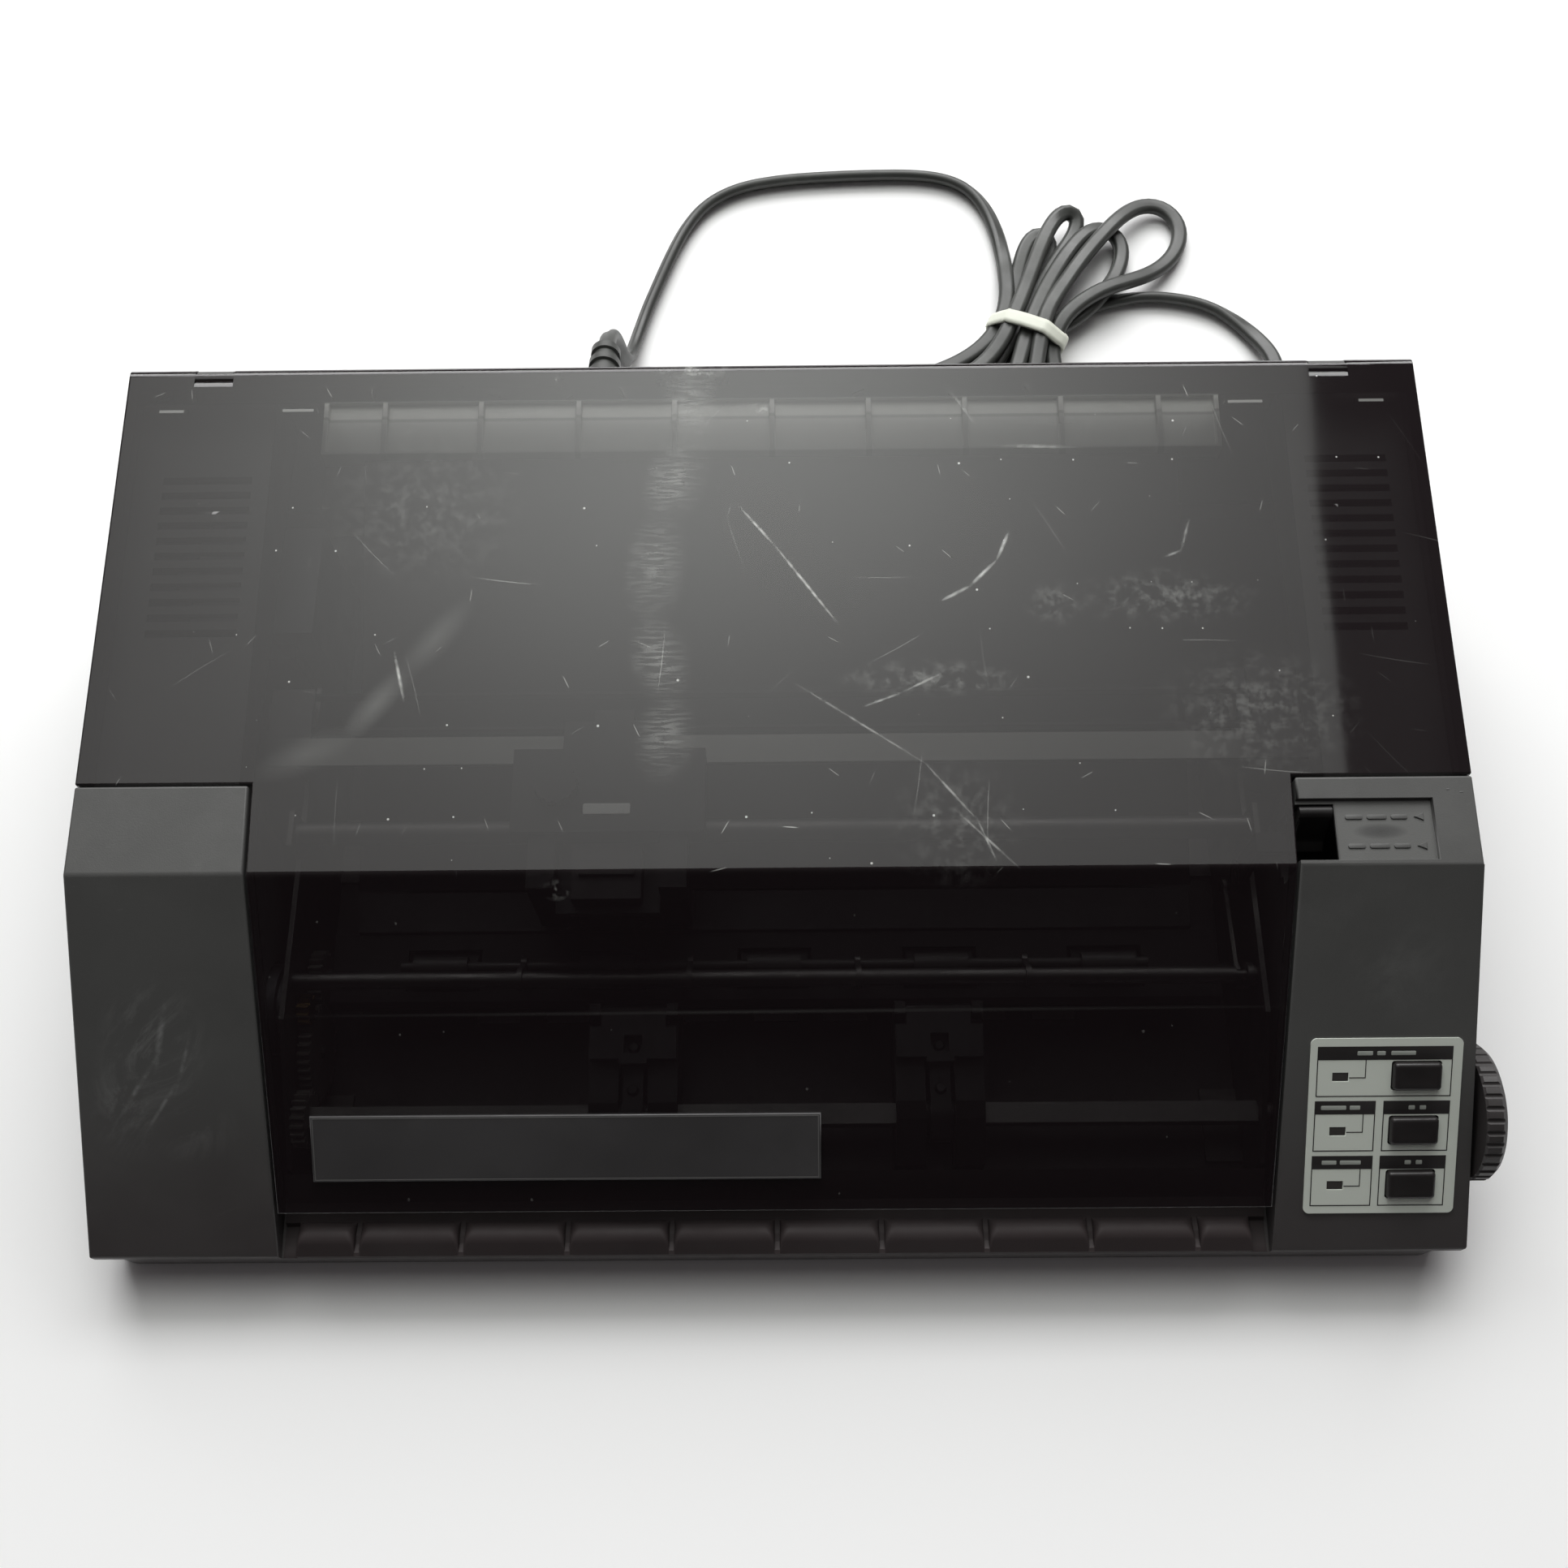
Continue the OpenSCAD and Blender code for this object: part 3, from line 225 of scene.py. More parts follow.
HANK = [
    # through the tie, down-left loop on the middle level, and back up
    [87.4, 344, 6.6], [84.6, 338, 6.8], [79, 330.5, 6.6], [68, 322.5, 6.6], [54, 317.5, 6.4], [44.5, 309, 6.4], [43.6, 298, 6.4], [51, 290, 6.4], [61.6, 291.5, 6.4], [70, 301.5, 6.4],
    [78, 315, 6.5], [85, 327, 6.6], [91.4, 338, 6.6],
    # first upper fold: up behind, over and down the front
    [98, 352, 5.2], [105.4, 366, 4.2], [112.6, 377.4, 4.6], [118.6, 385.6, 5.2], [121.2, 392.2, 6.4], [118.0, 396.6, 8.2], [112.4, 394.4, 9.8], [107.4, 386.2, 10.8], [102.6, 374.6, 10.9], [98.0, 361.6, 10.9], [93.4, 349, 10.9], [89.6, 339.4, 11],
    # lower loop on the top level
    [85, 329, 11], [77.6, 318.5, 11], [66.6, 312, 11], [58.8, 304, 11], [58.4, 293, 11], [66, 285.6, 11], [76.4, 286.6, 11], [83.2, 296, 11], [87.6, 309, 11], [91.4, 322, 11], [95.6, 335.8, 11],
    # second upper fold
    [101.4, 350.6, 10.9], [109.4, 366, 10.8], [117.2, 379, 9.2], [124.6, 387.8, 6.6], [131.6, 389.4, 4.4], [136.4, 382.6, 3.0], [134.8, 371.6, 3.0], [129.6, 360.6, 4.4], [121.6, 349.6, 6.4], [112.4, 341.4, 6.6], [98.4, 334.8, 6.6],
    # lower loop to the right on the middle level
    [92.6, 322, 6.6], [87, 310.6, 6.4], [80.6, 299.6, 6.4], [79.8, 288, 6.4], [87, 279, 6.4], [98.4, 277.4, 6.4], [107.2, 284.6, 6.4], [109.2, 297, 6.4], [107, 311, 6.4], [103.6, 322, 6.5], [103.4, 331.4, 6.8],
    # large upper loop to the right, coming back over the second fold
    [109.4, 342.6, 8.8], [117.6, 349.6, 10.6], [127.2, 355, 10.6], [137.8, 360.2, 8], [147, 366, 4.6], [154.6, 373.8, 2.9], [159.4, 383.4, 2.6], [159.2, 393.4, 2.7], [153, 400.6, 3.2], [144.2, 399.6, 4.8], [136.4, 392.6, 8], [127.8, 381.4, 10.8], [118.6, 369.2, 11], [110.4, 356.4, 11], [101.4, 342, 11], [99.6, 333.6, 11],
    # down the right, round and under to the bottom level
    [97.6, 321, 11], [95.4, 308, 10.8], [93.6, 295, 9.6], [89, 282.6, 7.4], [78.4, 274.4, 5], [66.6, 277.6, 3], [62, 289, 2.2], [67.4, 302, 2.2], [77, 315.4, 2.2], [85.6, 327, 2.3], [91.4, 336.4, 2.3],
    # small upper fold on the left
    [97.4, 351, 2.3], [103.4, 365, 2.5], [108.4, 378.6, 3.4], [108.8, 387.4, 4.8], [102.6, 389.2, 5.6], [97.6, 381, 5], [94.4, 369, 3.4], [90.6, 355, 2.4], [86, 339.8, 2.3],
    # lower loop round the bottom level
    [77, 325, 2.2], [63, 315, 2.2], [52, 302, 2.2], [50.4, 287, 2.2], [58, 274, 2.2], [72, 268, 2.2], [87, 269, 2.2], [99, 277, 2.2], [104, 290, 2.2], [103.6, 305, 2.2], [102, 319, 2.2], [102.4, 332.2, 2.2]]
TAIL = [[106.5, 343.2, 2.3], [113, 349.4, 2.5], [122, 352.2, 2.6], [132, 355, 2.6], [143, 356.4, 2.6], [154, 355.4, 2.6], [164, 352.6, 2.6], [173, 347, 2.6], [180.6, 338.4, 3.2], [185.4, 329.4, 5.0], [187, 322.4, 6.4], [187, 316, 6.4]]
route = smooth_line(LEAD + HANK + TAIL, 3.0)
fixed_to = len(smooth_line(LEAD, 3.0)) - 6
fixed_from = len(route) - len(smooth_line(TAIL, 3.0)) + 6


def settle(L, lo, hi, rounds):
    """Lets the bundled part of the lead settle: strands keep a thickness apart, mostly by lying on each other, and stay smooth."""
    L = L.copy()
    goal = L.copy()
    n = len(L)
    idx = np.arange(n)
    flat = np.array([1, 1, 6.2 / 4.5])
    for r in range(rounds):
        Q = L * flat
        sub = Q[lo:hi]
        d = sub[:, None, :] - Q[None, :, :]
        dist = np.sqrt((d ** 2).sum(2)) + 1e-9
        far = np.abs(idx[lo:hi][:, None] - idx[None, :]) > 7
        close = (dist < 6.2) & far
        push = np.where(close, (6.2 - dist) / dist, 0.0)
        move = (push[:, :, None] * d).sum(1)
        cnt = np.maximum(close.sum(1), 1)[:, None]
        move = move / cnt * np.array([0.22, 0.22, 0.5])
        L[lo:hi] += move
        # keep it smooth and near where it was laid
        for _ in range(2):
            mid = (L[:-2] + L[2:]) / 2
            k = np.zeros(n)
            k[lo:hi] = 0.2
            L[1:-1] += (mid - L[1:-1]) * k[1:-1, None]
        L[lo:hi, :2] += (goal[lo:hi, :2] - L[lo:hi, :2]) * 0.06
        L[lo:hi, 2] += (goal[lo:hi, 2] - L[lo:hi, 2]) * 0.02
        L[:, 2] = np.maximum(L[:, 2], 2.25)
    return L


route = settle(route, fixed_to, fixed_from, 160)
route = resample(route, 2.5)
for _ in range(3):
    route[1:-1] += (route[:-2] + route[2:] - 2 * route[1:-1]) * 0.2
route = resample(route, 2.5)
along = np.r_[0, np.cumsum(np.linalg.norm(np.diff(route, axis=0), axis=1))]
lead_end = along[np.argmin(np.linalg.norm(route[:, :2] - np.array([89.6, 354.0]), axis=1)[: len(route) // 3])]
roll = math.radians(56) * np.clip(along / 40, 0, 1) * np.clip((lead_end - 10 - along) / 50, 0, 1)
roll += math.radians(50) * np.clip((along - (along[-1] - 95)) / 25, 0, 1) * np.clip((along[-1] - 22 - along) / 18, 0, 1)
lift = np.sqrt((3.05 * np.sin(roll)) ** 2 + (2.2 * np.cos(roll)) ** 2)
route[:, 2] = np.maximum(route[:, 2], lift + 0.06)
cord = oval_tube("mains_lead", route, 3.05, 2.2, 20, groove=0.16, turn=roll)


# ------------------------------------------------------------------ node helpers
def new_mat(name):
    m = bpy.data.materials.new(name)
    m.use_nodes = True
    nt = m.node_tree
    return m, nt, nt.nodes["Principled BSDF"]


def tex_coord(nt):
    return nt.nodes.new("ShaderNodeTexCoord").outputs["Object"]


def mapped(nt, co, scale=(1, 1, 1), rot=0.0):
    mp = nt.nodes.new("ShaderNodeMapping")
    mp.inputs["Scale"].default_value = scale
    mp.inputs["Rotation"].default_value = (0, 0, rot)
    nt.links.new(co, mp.inputs["Vector"])
    return mp.outputs["Vector"]


def noise(nt, co, scale, detail=4.0, rough=0.55, stretch=None, dist=0.0, rot=0.0):
    if rot:
        co = mapped(nt, co, rot=rot)
    if stretch:
        co = mapped(nt, co, stretch)
    t = nt.nodes.new("ShaderNodeTexNoise")
    t.inputs["Scale"].default_value = scale
    t.inputs["Detail"].default_value = detail
    t.inputs["Roughness"].default_value = rough
    t.inputs["Distortion"].default_value = dist
    nt.links.new(co, t.inputs["Vector"])
    return t.outputs["Fac"]


def ramp(nt, fac, stops):
    r = nt.nodes.new("ShaderNodeValToRGB")
    e = r.color_ramp.elements
    while len(e) < len(stops):
        e.new(0.5)
    for el_, (p, c) in zip(e, stops):
        el_.position = p
        el_.color = (c, c, c, 1) if isinstance(c, (int, float)) else (*c, 1)
    nt.links.new(fac, r.inputs["Fac"])
    return r.outputs["Color"]


def span(nt, v, a, b, lo=0.0, hi=1.0, smooth=True):
    m = nt.nodes.new("ShaderNodeMapRange")
    m.interpolation_type = "SMOOTHSTEP" if smooth else "LINEAR"
    for i, k in enumerate((a, b, lo, hi)):
        m.inputs[i + 1].default_value = k
    nt.links.new(v, m.inputs[0])
    return m.outputs[0]


def mixc(nt, fac, a, b, mode="MIX"):
    m = nt.nodes.new("ShaderNodeMix")
    m.data_type = "RGBA"
    m.blend_type = mode
    for sock, v in ((m.inputs[0], fac), (m.inputs[6], a), (m.inputs[7], b)):
        if isinstance(v, bpy.types.NodeSocket):
            nt.links.new(v, sock)
        elif isinstance(v, (int, float)):
            sock.default_value = v if sock.type == "VALUE" else (v, v, v, 1)
        else:
            sock.default_value = (*v, 1)
    return m.outputs[2]


def math_(nt, op, a, b=None, clamp=False):
    m = nt.nodes.new("ShaderNodeMath")
    m.operation = op
    m.use_clamp = clamp
    for i, v in enumerate((a, b)):
        if v is None:
            continue
        if isinstance(v, bpy.types.NodeSocket):
            nt.links.new(v, m.inputs[i])
        else:
            m.inputs[i].default_value = v
    return m.outputs[0]


def vmath(nt, op, a, b=None, scale=None):
    m = nt.nodes.new("ShaderNodeVectorMath")
    m.operation = op
    for i, v in enumerate((a, b)):
        if v is None:
            continue
        if isinstance(v, bpy.types.NodeSocket):
            nt.links.new(v, m.inputs[i])
        else:
            m.inputs[i].default_value = v
    if scale is not None:
        nt.links.new(scale, m.inputs["Scale"])
    return m.outputs["Value"] if op in ("DOT_PRODUCT", "LENGTH") else m.outputs["Vector"]


def add_all(nt, *vals):
    out = vals[0]
    for v in vals[1:]:
        out = math_(nt, "ADD", out, v)
    return out


def most(nt, vals):
    out = vals[0]
    for v in vals[1:]:
        out = math_(nt, "MAXIMUM", out, v)
    return out


def axis(nt, co, k):
    s = nt.nodes.new("ShaderNodeSeparateXYZ")
    nt.links.new(co, s.inputs[0])
    return s.outputs[k]


def flat_xy(nt, co):
    return vmath(nt, "MULTIPLY", co, (1, 1, 0))


def oval(nt, co, c, rx, ry, rot=0.0, gain=1.0):
    """An elliptic mark seen from above: 1 at its middle, falling evenly to 0 at its rim, times gain."""
    mp = nt.nodes.new("ShaderNodeMapping")
    mp.vector_type = "TEXTURE"
    mp.inputs["Location"].default_value = (c[0], c[1], 0)
    mp.inputs["Rotation"].default_value = (0, 0, rot)
    mp.inputs["Scale"].default_value = (rx, ry, 1)
    nt.links.new(co, mp.inputs["Vector"])
    g = nt.nodes.new("ShaderNodeTexGradient")
    g.gradient_type = "SPHERICAL"
    nt.links.new(mp.outputs["Vector"], g.inputs["Vector"])
    return g.outputs["Fac"] if gain == 1.0 else math_(nt, "MULTIPLY", g.outputs["Fac"], gain)


def streak(nt, co, p, q, half, soft=0.4, gain=1.0):
    """A tapered line from p to q (row-frame metres, seen from above)."""
    dx_, dy_ = q[0] - p[0], q[1] - p[1]
    return oval(nt, co, ((p[0] + q[0]) / 2, (p[1] + q[1]) / 2), math.hypot(dx_, dy_) * 0.62, half * 1.5, math.atan2(dy_, dx_), gain * 1.6)


def blob(nt, co, c, rx, ry, soft=0.3, gain=1.0, rot=0.0):
    return oval(nt, co, c, rx, ry, rot, gain * 1.6)


def nicks(nt, xy, scale, shift, length, width, keep, bend=0.0):
    """Short straight marks, one to a cell at most, each at its own angle; also the cells' distance and colour."""
    vo = nt.nodes.new("ShaderNodeTexVoronoi")
    vo.voronoi_dimensions = "2D"
    vo.inputs["Scale"].default_value = scale
    at_ = vmath(nt, "ADD", xy, (shift, shift * 0.37, 0))
    nt.links.new(at_, vo.inputs["Vector"])
    rel = vmath(nt, "SUBTRACT", at_, vo.outputs["Position"])
    r_, g_, b_ = (axis(nt, vo.outputs["Color"], k) for k in range(3))
    x_, y_ = axis(nt, rel, 0), axis(nt, rel, 1)
    ang = math_(nt, "MULTIPLY", r_, 6.2832)
    ca, sa = math_(nt, "COSINE", ang), math_(nt, "SINE", ang)
    u = math_(nt, "ADD", math_(nt, "MULTIPLY", x_, ca), math_(nt, "MULTIPLY", y_, sa))
    w = math_(nt, "SUBTRACT", math_(nt, "MULTIPLY", y_, ca), math_(nt, "MULTIPLY", x_, sa))
    if bend:
        w = math_(nt, "ADD", w, math_(nt, "MULTIPLY", math_(nt, "MULTIPLY", u, u), bend))
    line = math_(nt, "MULTIPLY", span(nt, math_(nt, "ABSOLUTE", w), width, width * 0.3), span(nt, math_(nt, "ABSOLUTE", u), length, length * 0.2))
    line = math_(nt, "MULTIPLY", line, math_(nt, "MULTIPLY", math_(nt, "GREATER_THAN", g_, keep), math_(nt, "ADD", math_(nt, "MULTIPLY", b_, 0.7), 0.3)))
    return line, vo.outputs["Distance"], g_


def bump(nt, bsdf, height, strength, distance, prev=None):
    b = nt.nodes.new("ShaderNodeBump")
    b.inputs["Strength"].default_value = strength
    b.inputs["Distance"].default_value = distance
    nt.links.new(height, b.inputs["Height"])
    if prev is not None:
        nt.links.new(prev, b.inputs["Normal"])
    nt.links.new(b.outputs["Normal"], bsdf.inputs["Normal"])
    return b.outputs["Normal"]


# points of the case seen from above, for wear marks: on the top (x, distance behind the break) and on the front slope (x, distance above its foot)
topxy = lambda x, s: ((x - 4.0) / 1000, (YB + s * math.cos(AT) - 129.5) / 1000)
slopexy = lambda x, s: ((x - 4.0) / 1000, (s * math.cos(AF) - 129.5) / 1000)


# ------------------------------------------------------------------ materials
def plastic(name, color, rough=0.5, var=0.12, grain=1600, grain_h=0.00004, light=None, smudge=0.25, coat=0.0, spec=0.5, extra=None):
    """Moulded plastic: fine texture, slow tone changes, rubbed lighter patches and small marks."""
    m, nt, b = new_mat(name)
    co = tex_coord(nt)
    c = Vector(color)
    slow = noise(nt, co, 9, 5, 0.6)
    mid = noise(nt, co, 60, 4, 0.6)
    base = mixc(nt, ramp(nt, slow, [(0.3, 0.0), (0.72, 1.0)]), tuple(c * (1 - var)), tuple(c * (1 + var)))
    base = mixc(nt, math_(nt, "MULTIPLY", ramp(nt, mid, [(0.45, 0.0), (0.75, 1.0)]), 0.35), base, tuple(c * (1 + 1.6 * var)))
    if light is not None:
        worn = ramp(nt, noise(nt, co, 22, 6, 0.7), [(0.52, 0.0), (0.74, 1.0)])
        base = mixc(nt, math_(nt, "MULTIPLY", worn, smudge), base, light)
    r = ramp(nt, noise(nt, co, 34, 5, 0.65), [(0.3, max(rough - 0.1, 0.05)), (0.7, min(rough + 0.12, 1))])
    if extra is not None:
        base, r = extra(nt, co, base, r)
    nt.links.new(base, b.inputs["Base Color"])
    nt.links.new(r, b.inputs["Roughness"])
    b.inputs["Specular IOR Level"].default_value = spec
    b.inputs["Coat Weight"].default_value = coat
    bump(nt, b, noise(nt, co, grain, 2, 0.5), 0.5, grain_h)
    return m


def metal(name, color, rough=0.3, brush=(1, 1, 1)):
    m, nt, b = new_mat(name)
    co = tex_coord(nt)
    c = Vector(color)
    n = noise(nt, co, 300, 3, 0.6, stretch=brush)
    nt.links.new(mixc(nt, n, tuple(c * 0.82), tuple(c * 1.1)), b.inputs["Base Color"])
    nt.links.new(ramp(nt, noise(nt, co, 40, 4), [(0.3, rough * 0.8), (0.7, rough * 1.35)]), b.inputs["Roughness"])
    b.inputs["Metallic"].default_value = 1.0
    bump(nt, b, n, 0.25, 0.00002)
    return m


def case_wear_and_shade(nt, co, base, r):
    """Hand smears and scratches on the case, strongest on the left pod's slope, and painted shade low down: darker and
    browner towards the bottom.
    """
    xy = flat_xy(nt, co)
    wisp = ramp(nt, noise(nt, co, 46, 6, 0.72, stretch=(1.0, 0.45, 1.0), dist=1.6, rot=0.5), [(0.46, 0.0), (0.70, 1.0)])
    where = most(nt, [blob(nt, xy, slopexy(-177, 64), 0.017, 0.019, 0.1), blob(nt, xy, slopexy(-186, 47), 0.012, 0.016, 0.1, 0.8),
                      blob(nt, xy, slopexy(-168, 40), 0.014, 0.010, 0.1, 0.6), blob(nt, xy, slopexy(176, 84), 0.018, 0.014, 0.1, 0.25)])
    m1 = math_(nt, "MULTIPLY", wisp, where)
    line = most(nt, [streak(nt, xy, slopexy(-188, 44), slopexy(-176, 62), 0.0006, 0.1), streak(nt, xy, slopexy(-181, 39), slopexy(-169, 57), 0.0005, 0.1, 0.8),
                     streak(nt, xy, slopexy(-173, 77), slopexy(-177, 58), 0.0008, 0.1, 0.7), streak(nt, xy, slopexy(-166, 69), slopexy(-172, 50), 0.0005, 0.1, 0.6)])
    line = math_(nt, "MULTIPLY", line, ramp(nt, noise(nt, co, 300, 3), [(0.4, 0.2), (0.6, 1.0)]))
    fine = ramp(nt, noise(nt, co, 70, 5, 0.75, stretch=(1, 6, 1), dist=0.6, rot=-0.35), [(0.66, 0.0), (0.72, 0.5)])
    mark = add_all(nt, math_(nt, "MULTIPLY", m1, 0.34), math_(nt, "MULTIPLY", line, 0.30), math_(nt, "MULTIPLY", fine, 0.10))
    base = mixc(nt, mark, base, (0.34, 0.345, 0.34))
    bed = math_(nt, "MULTIPLY", math_(nt, "MULTIPLY", span(nt, axis(nt, co, 0), 0.1553, 0.1556), span(nt, axis(nt, co, 0), 0.1826, 0.1823)),
                math_(nt, "MULTIPLY", span(nt, axis(nt, co, 1), -0.0316, -0.0313), span(nt, axis(nt, co, 1), -0.0136, -0.0139)))
    sm = math_(nt, "SUBTRACT", 0.30, blob(nt, xy, topxy(171.5, 10.2), 0.008, 0.0024, 0.2, 0.42))
    base = mixc(nt, math_(nt, "MULTIPLY", bed, math_(nt, "MAXIMUM", sm, 0.0)), base, (0.17, 0.172, 0.165))
    base = mixc(nt, math_(nt, "MULTIPLY", bed, blob(nt, xy, topxy(171.5, 10.2), 0.008, 0.0024, 0.2, 0.35)), base, (0.02, 0.02, 0.02))
    # painted shade: the case grows darker and browner towards the bottom
    low_shade = span(nt, axis(nt, co, 2), 0.056, 0.014, 0.0, 0.72)
    base = mixc(nt, low_shade, base, (0.034, 0.026, 0.027))
    return base, math_(nt, "ADD", r, math_(nt, "MULTIPLY", m1, -0.08))


MAT = {}
MAT["case_plastic"] = plastic("case_plastic", (0.072, 0.072, 0.070), 0.5, 0.10, 2400, 0.00005, light=(0.12, 0.12, 0.118), smudge=0.30, extra=case_wear_and_shade)


def guide_light_and_shade(nt, co, base, r):
    """Painted light and shade on the paper guide: a pale strip of painted light along its rear, and painted shade along
    its ribs and along the step.
    """
    X, Y = axis(nt, co, 0), axis(nt, co, 1)
    # painted light: a pale strip along the guide's rear
    back = span(nt, Y, 0.1213, 0.1218)
    # painted shade: a dark line along the step
    step = math_(nt, "MULTIPLY", span(nt, Y, 0.1203, 0.1208), math_(nt, "SUBTRACT", 1.0, span(nt, Y, 0.1214, 0.1219)))
    # painted shade: dark lines along the ribs
    rib_shade = most(nt, [span(nt, math_(nt, "ABSOLUTE", math_(nt, "SUBTRACT", X, (c - 4.0) / 1000)), 0.0011, 0.0009) for c in (-122.5, -92, -61, -30.5, 0.4, 31, 61.5, 92, 122.9)])
    base = mixc(nt, back, base, (0.66, 0.67, 0.62))
    base = mixc(nt, math_(nt, "MULTIPLY", step, 0.45), base, (0.12, 0.12, 0.11))
    base = mixc(nt, math_(nt, "MULTIPLY", rib_shade, 0.35), base, (0.14, 0.14, 0.13))
    return base, r


MAT["guide_plastic"] = plastic("guide_plastic", (0.48, 0.49, 0.455), 0.5, 0.08, extra=guide_light_and_shade)
MAT["rubber_feet"] = plastic("rubber_feet", (0.02, 0.02, 0.02), 0.8, 0.2, 900)
MAT["steel"] = metal("steel", (0.15, 0.145, 0.142), 0.45, (1, 12, 12))
bright_steel = metal("bright_steel", (0.50, 0.50, 0.49), 0.30, (1, 1, 6))
MAT["cord_pvc"] = plastic("cord_pvc", (0.042, 0.044, 0.041), 0.40, 0.25, 700, 0.00003, light=(0.11, 0.115, 0.105), smudge=0.45)
MAT["plate_film"] = plastic("plate_film", (0.046, 0.044, 0.045), 0.42, 0.12, 1500, 0.00002, light=(0.08, 0.08, 0.08), smudge=0.25)
MAT["label_film"] = plastic("label_film", (0.66, 0.70, 0.635), 0.45, 0.04, 1800, 0.00001, light=(0.72, 0.75, 0.69), smudge=0.25)
MAT["black_plastic"] = plastic("black_plastic", (0.013, 0.012, 0.012), 0.42, 0.2, 1300, 0.00004, light=(0.04, 0.04, 0.04), smudge=0.2, spec=0.3)
MAT["circuit_board"] = plastic("circuit_board", (0.02, 0.055, 0.03), 0.35, 0.2, 500, 0.00003)


def rail_painted_shade(nt, co, base, r):
    """The rail's running face is bright; the brackets behind it and at its ends are painted dark as shade where they
    run under the decks.
    """
    # painted shade: everything outside this band is dark
    unshaded_band = math_(nt, "MULTIPLY", span(nt, axis(nt, co, 1), 0.0180, 0.0172), span(nt, math_(nt, "ABSOLUTE", math_(nt, "ADD", axis(nt, co, 0), 0.006)), 0.150, 0.128))
    return mixc(nt, unshaded_band, (0.030, 0.026, 0.026), base), r


MAT["zinc_sheet"] = plastic("zinc_sheet", (0.36, 0.36, 0.335), 0.42, 0.10, 900, 0.00002, extra=rail_painted_shade)
MAT["dark_sheet"] = plastic("dark_sheet", (0.016, 0.014, 0.014), 0.55, 0.15, 1500, 0.00003, spec=0.2)
MAT["rubber"] = plastic("rubber", (0.016, 0.015, 0.015), 0.75, 0.2, 900)
MAT["nylon"] = plastic("nylon", (0.10, 0.095, 0.085), 0.45, 0.06)
MAT["brass"] = metal("brass", (0.22, 0.15, 0.06), 0.4)
MAT["motor_can"] = metal("motor_can", (0.10, 0.10, 0.105), 0.45)
MAT["roller_plastic"] = plastic("roller_plastic", (0.05, 0.047, 0.045), 0.5, 0.08)
MAT["head_alloy"] = metal("head_alloy", (0.055, 0.052, 0.052), 0.55)
MAT["tie_plastic"] = plastic("tie_plastic", (0.70, 0.72, 0.63), 0.5, 0.05, 600, 0.00004, light=(0.58, 0.60, 0.53), smudge=0.4)
CARRIER = next((s_["body"] for s_ in frame["record"]["subparts"] if s_["node"] == "ribbon_cartridge" and "body" in s_), "carriage")
print_ink = plastic("print_ink", (0.020, 0.018, 0.018), 0.45, 0.12, 1500, 0.00001, light=(0.04, 0.04, 0.04), smudge=0.2)
print_pale = plastic("print_pale", (0.34, 0.36, 0.33), 0.45, 0.08, 1500, 0.00001)
key_black = plastic("key_black", (0.014, 0.012, 0.012), 0.36, 0.2, 900, 0.00003, light=(0.035, 0.035, 0.035), smudge=0.25)
lamp_lens = plastic("lamp_lens", (0.045, 0.042, 0.040), 0.25, 0.15, 700, 0.00002)


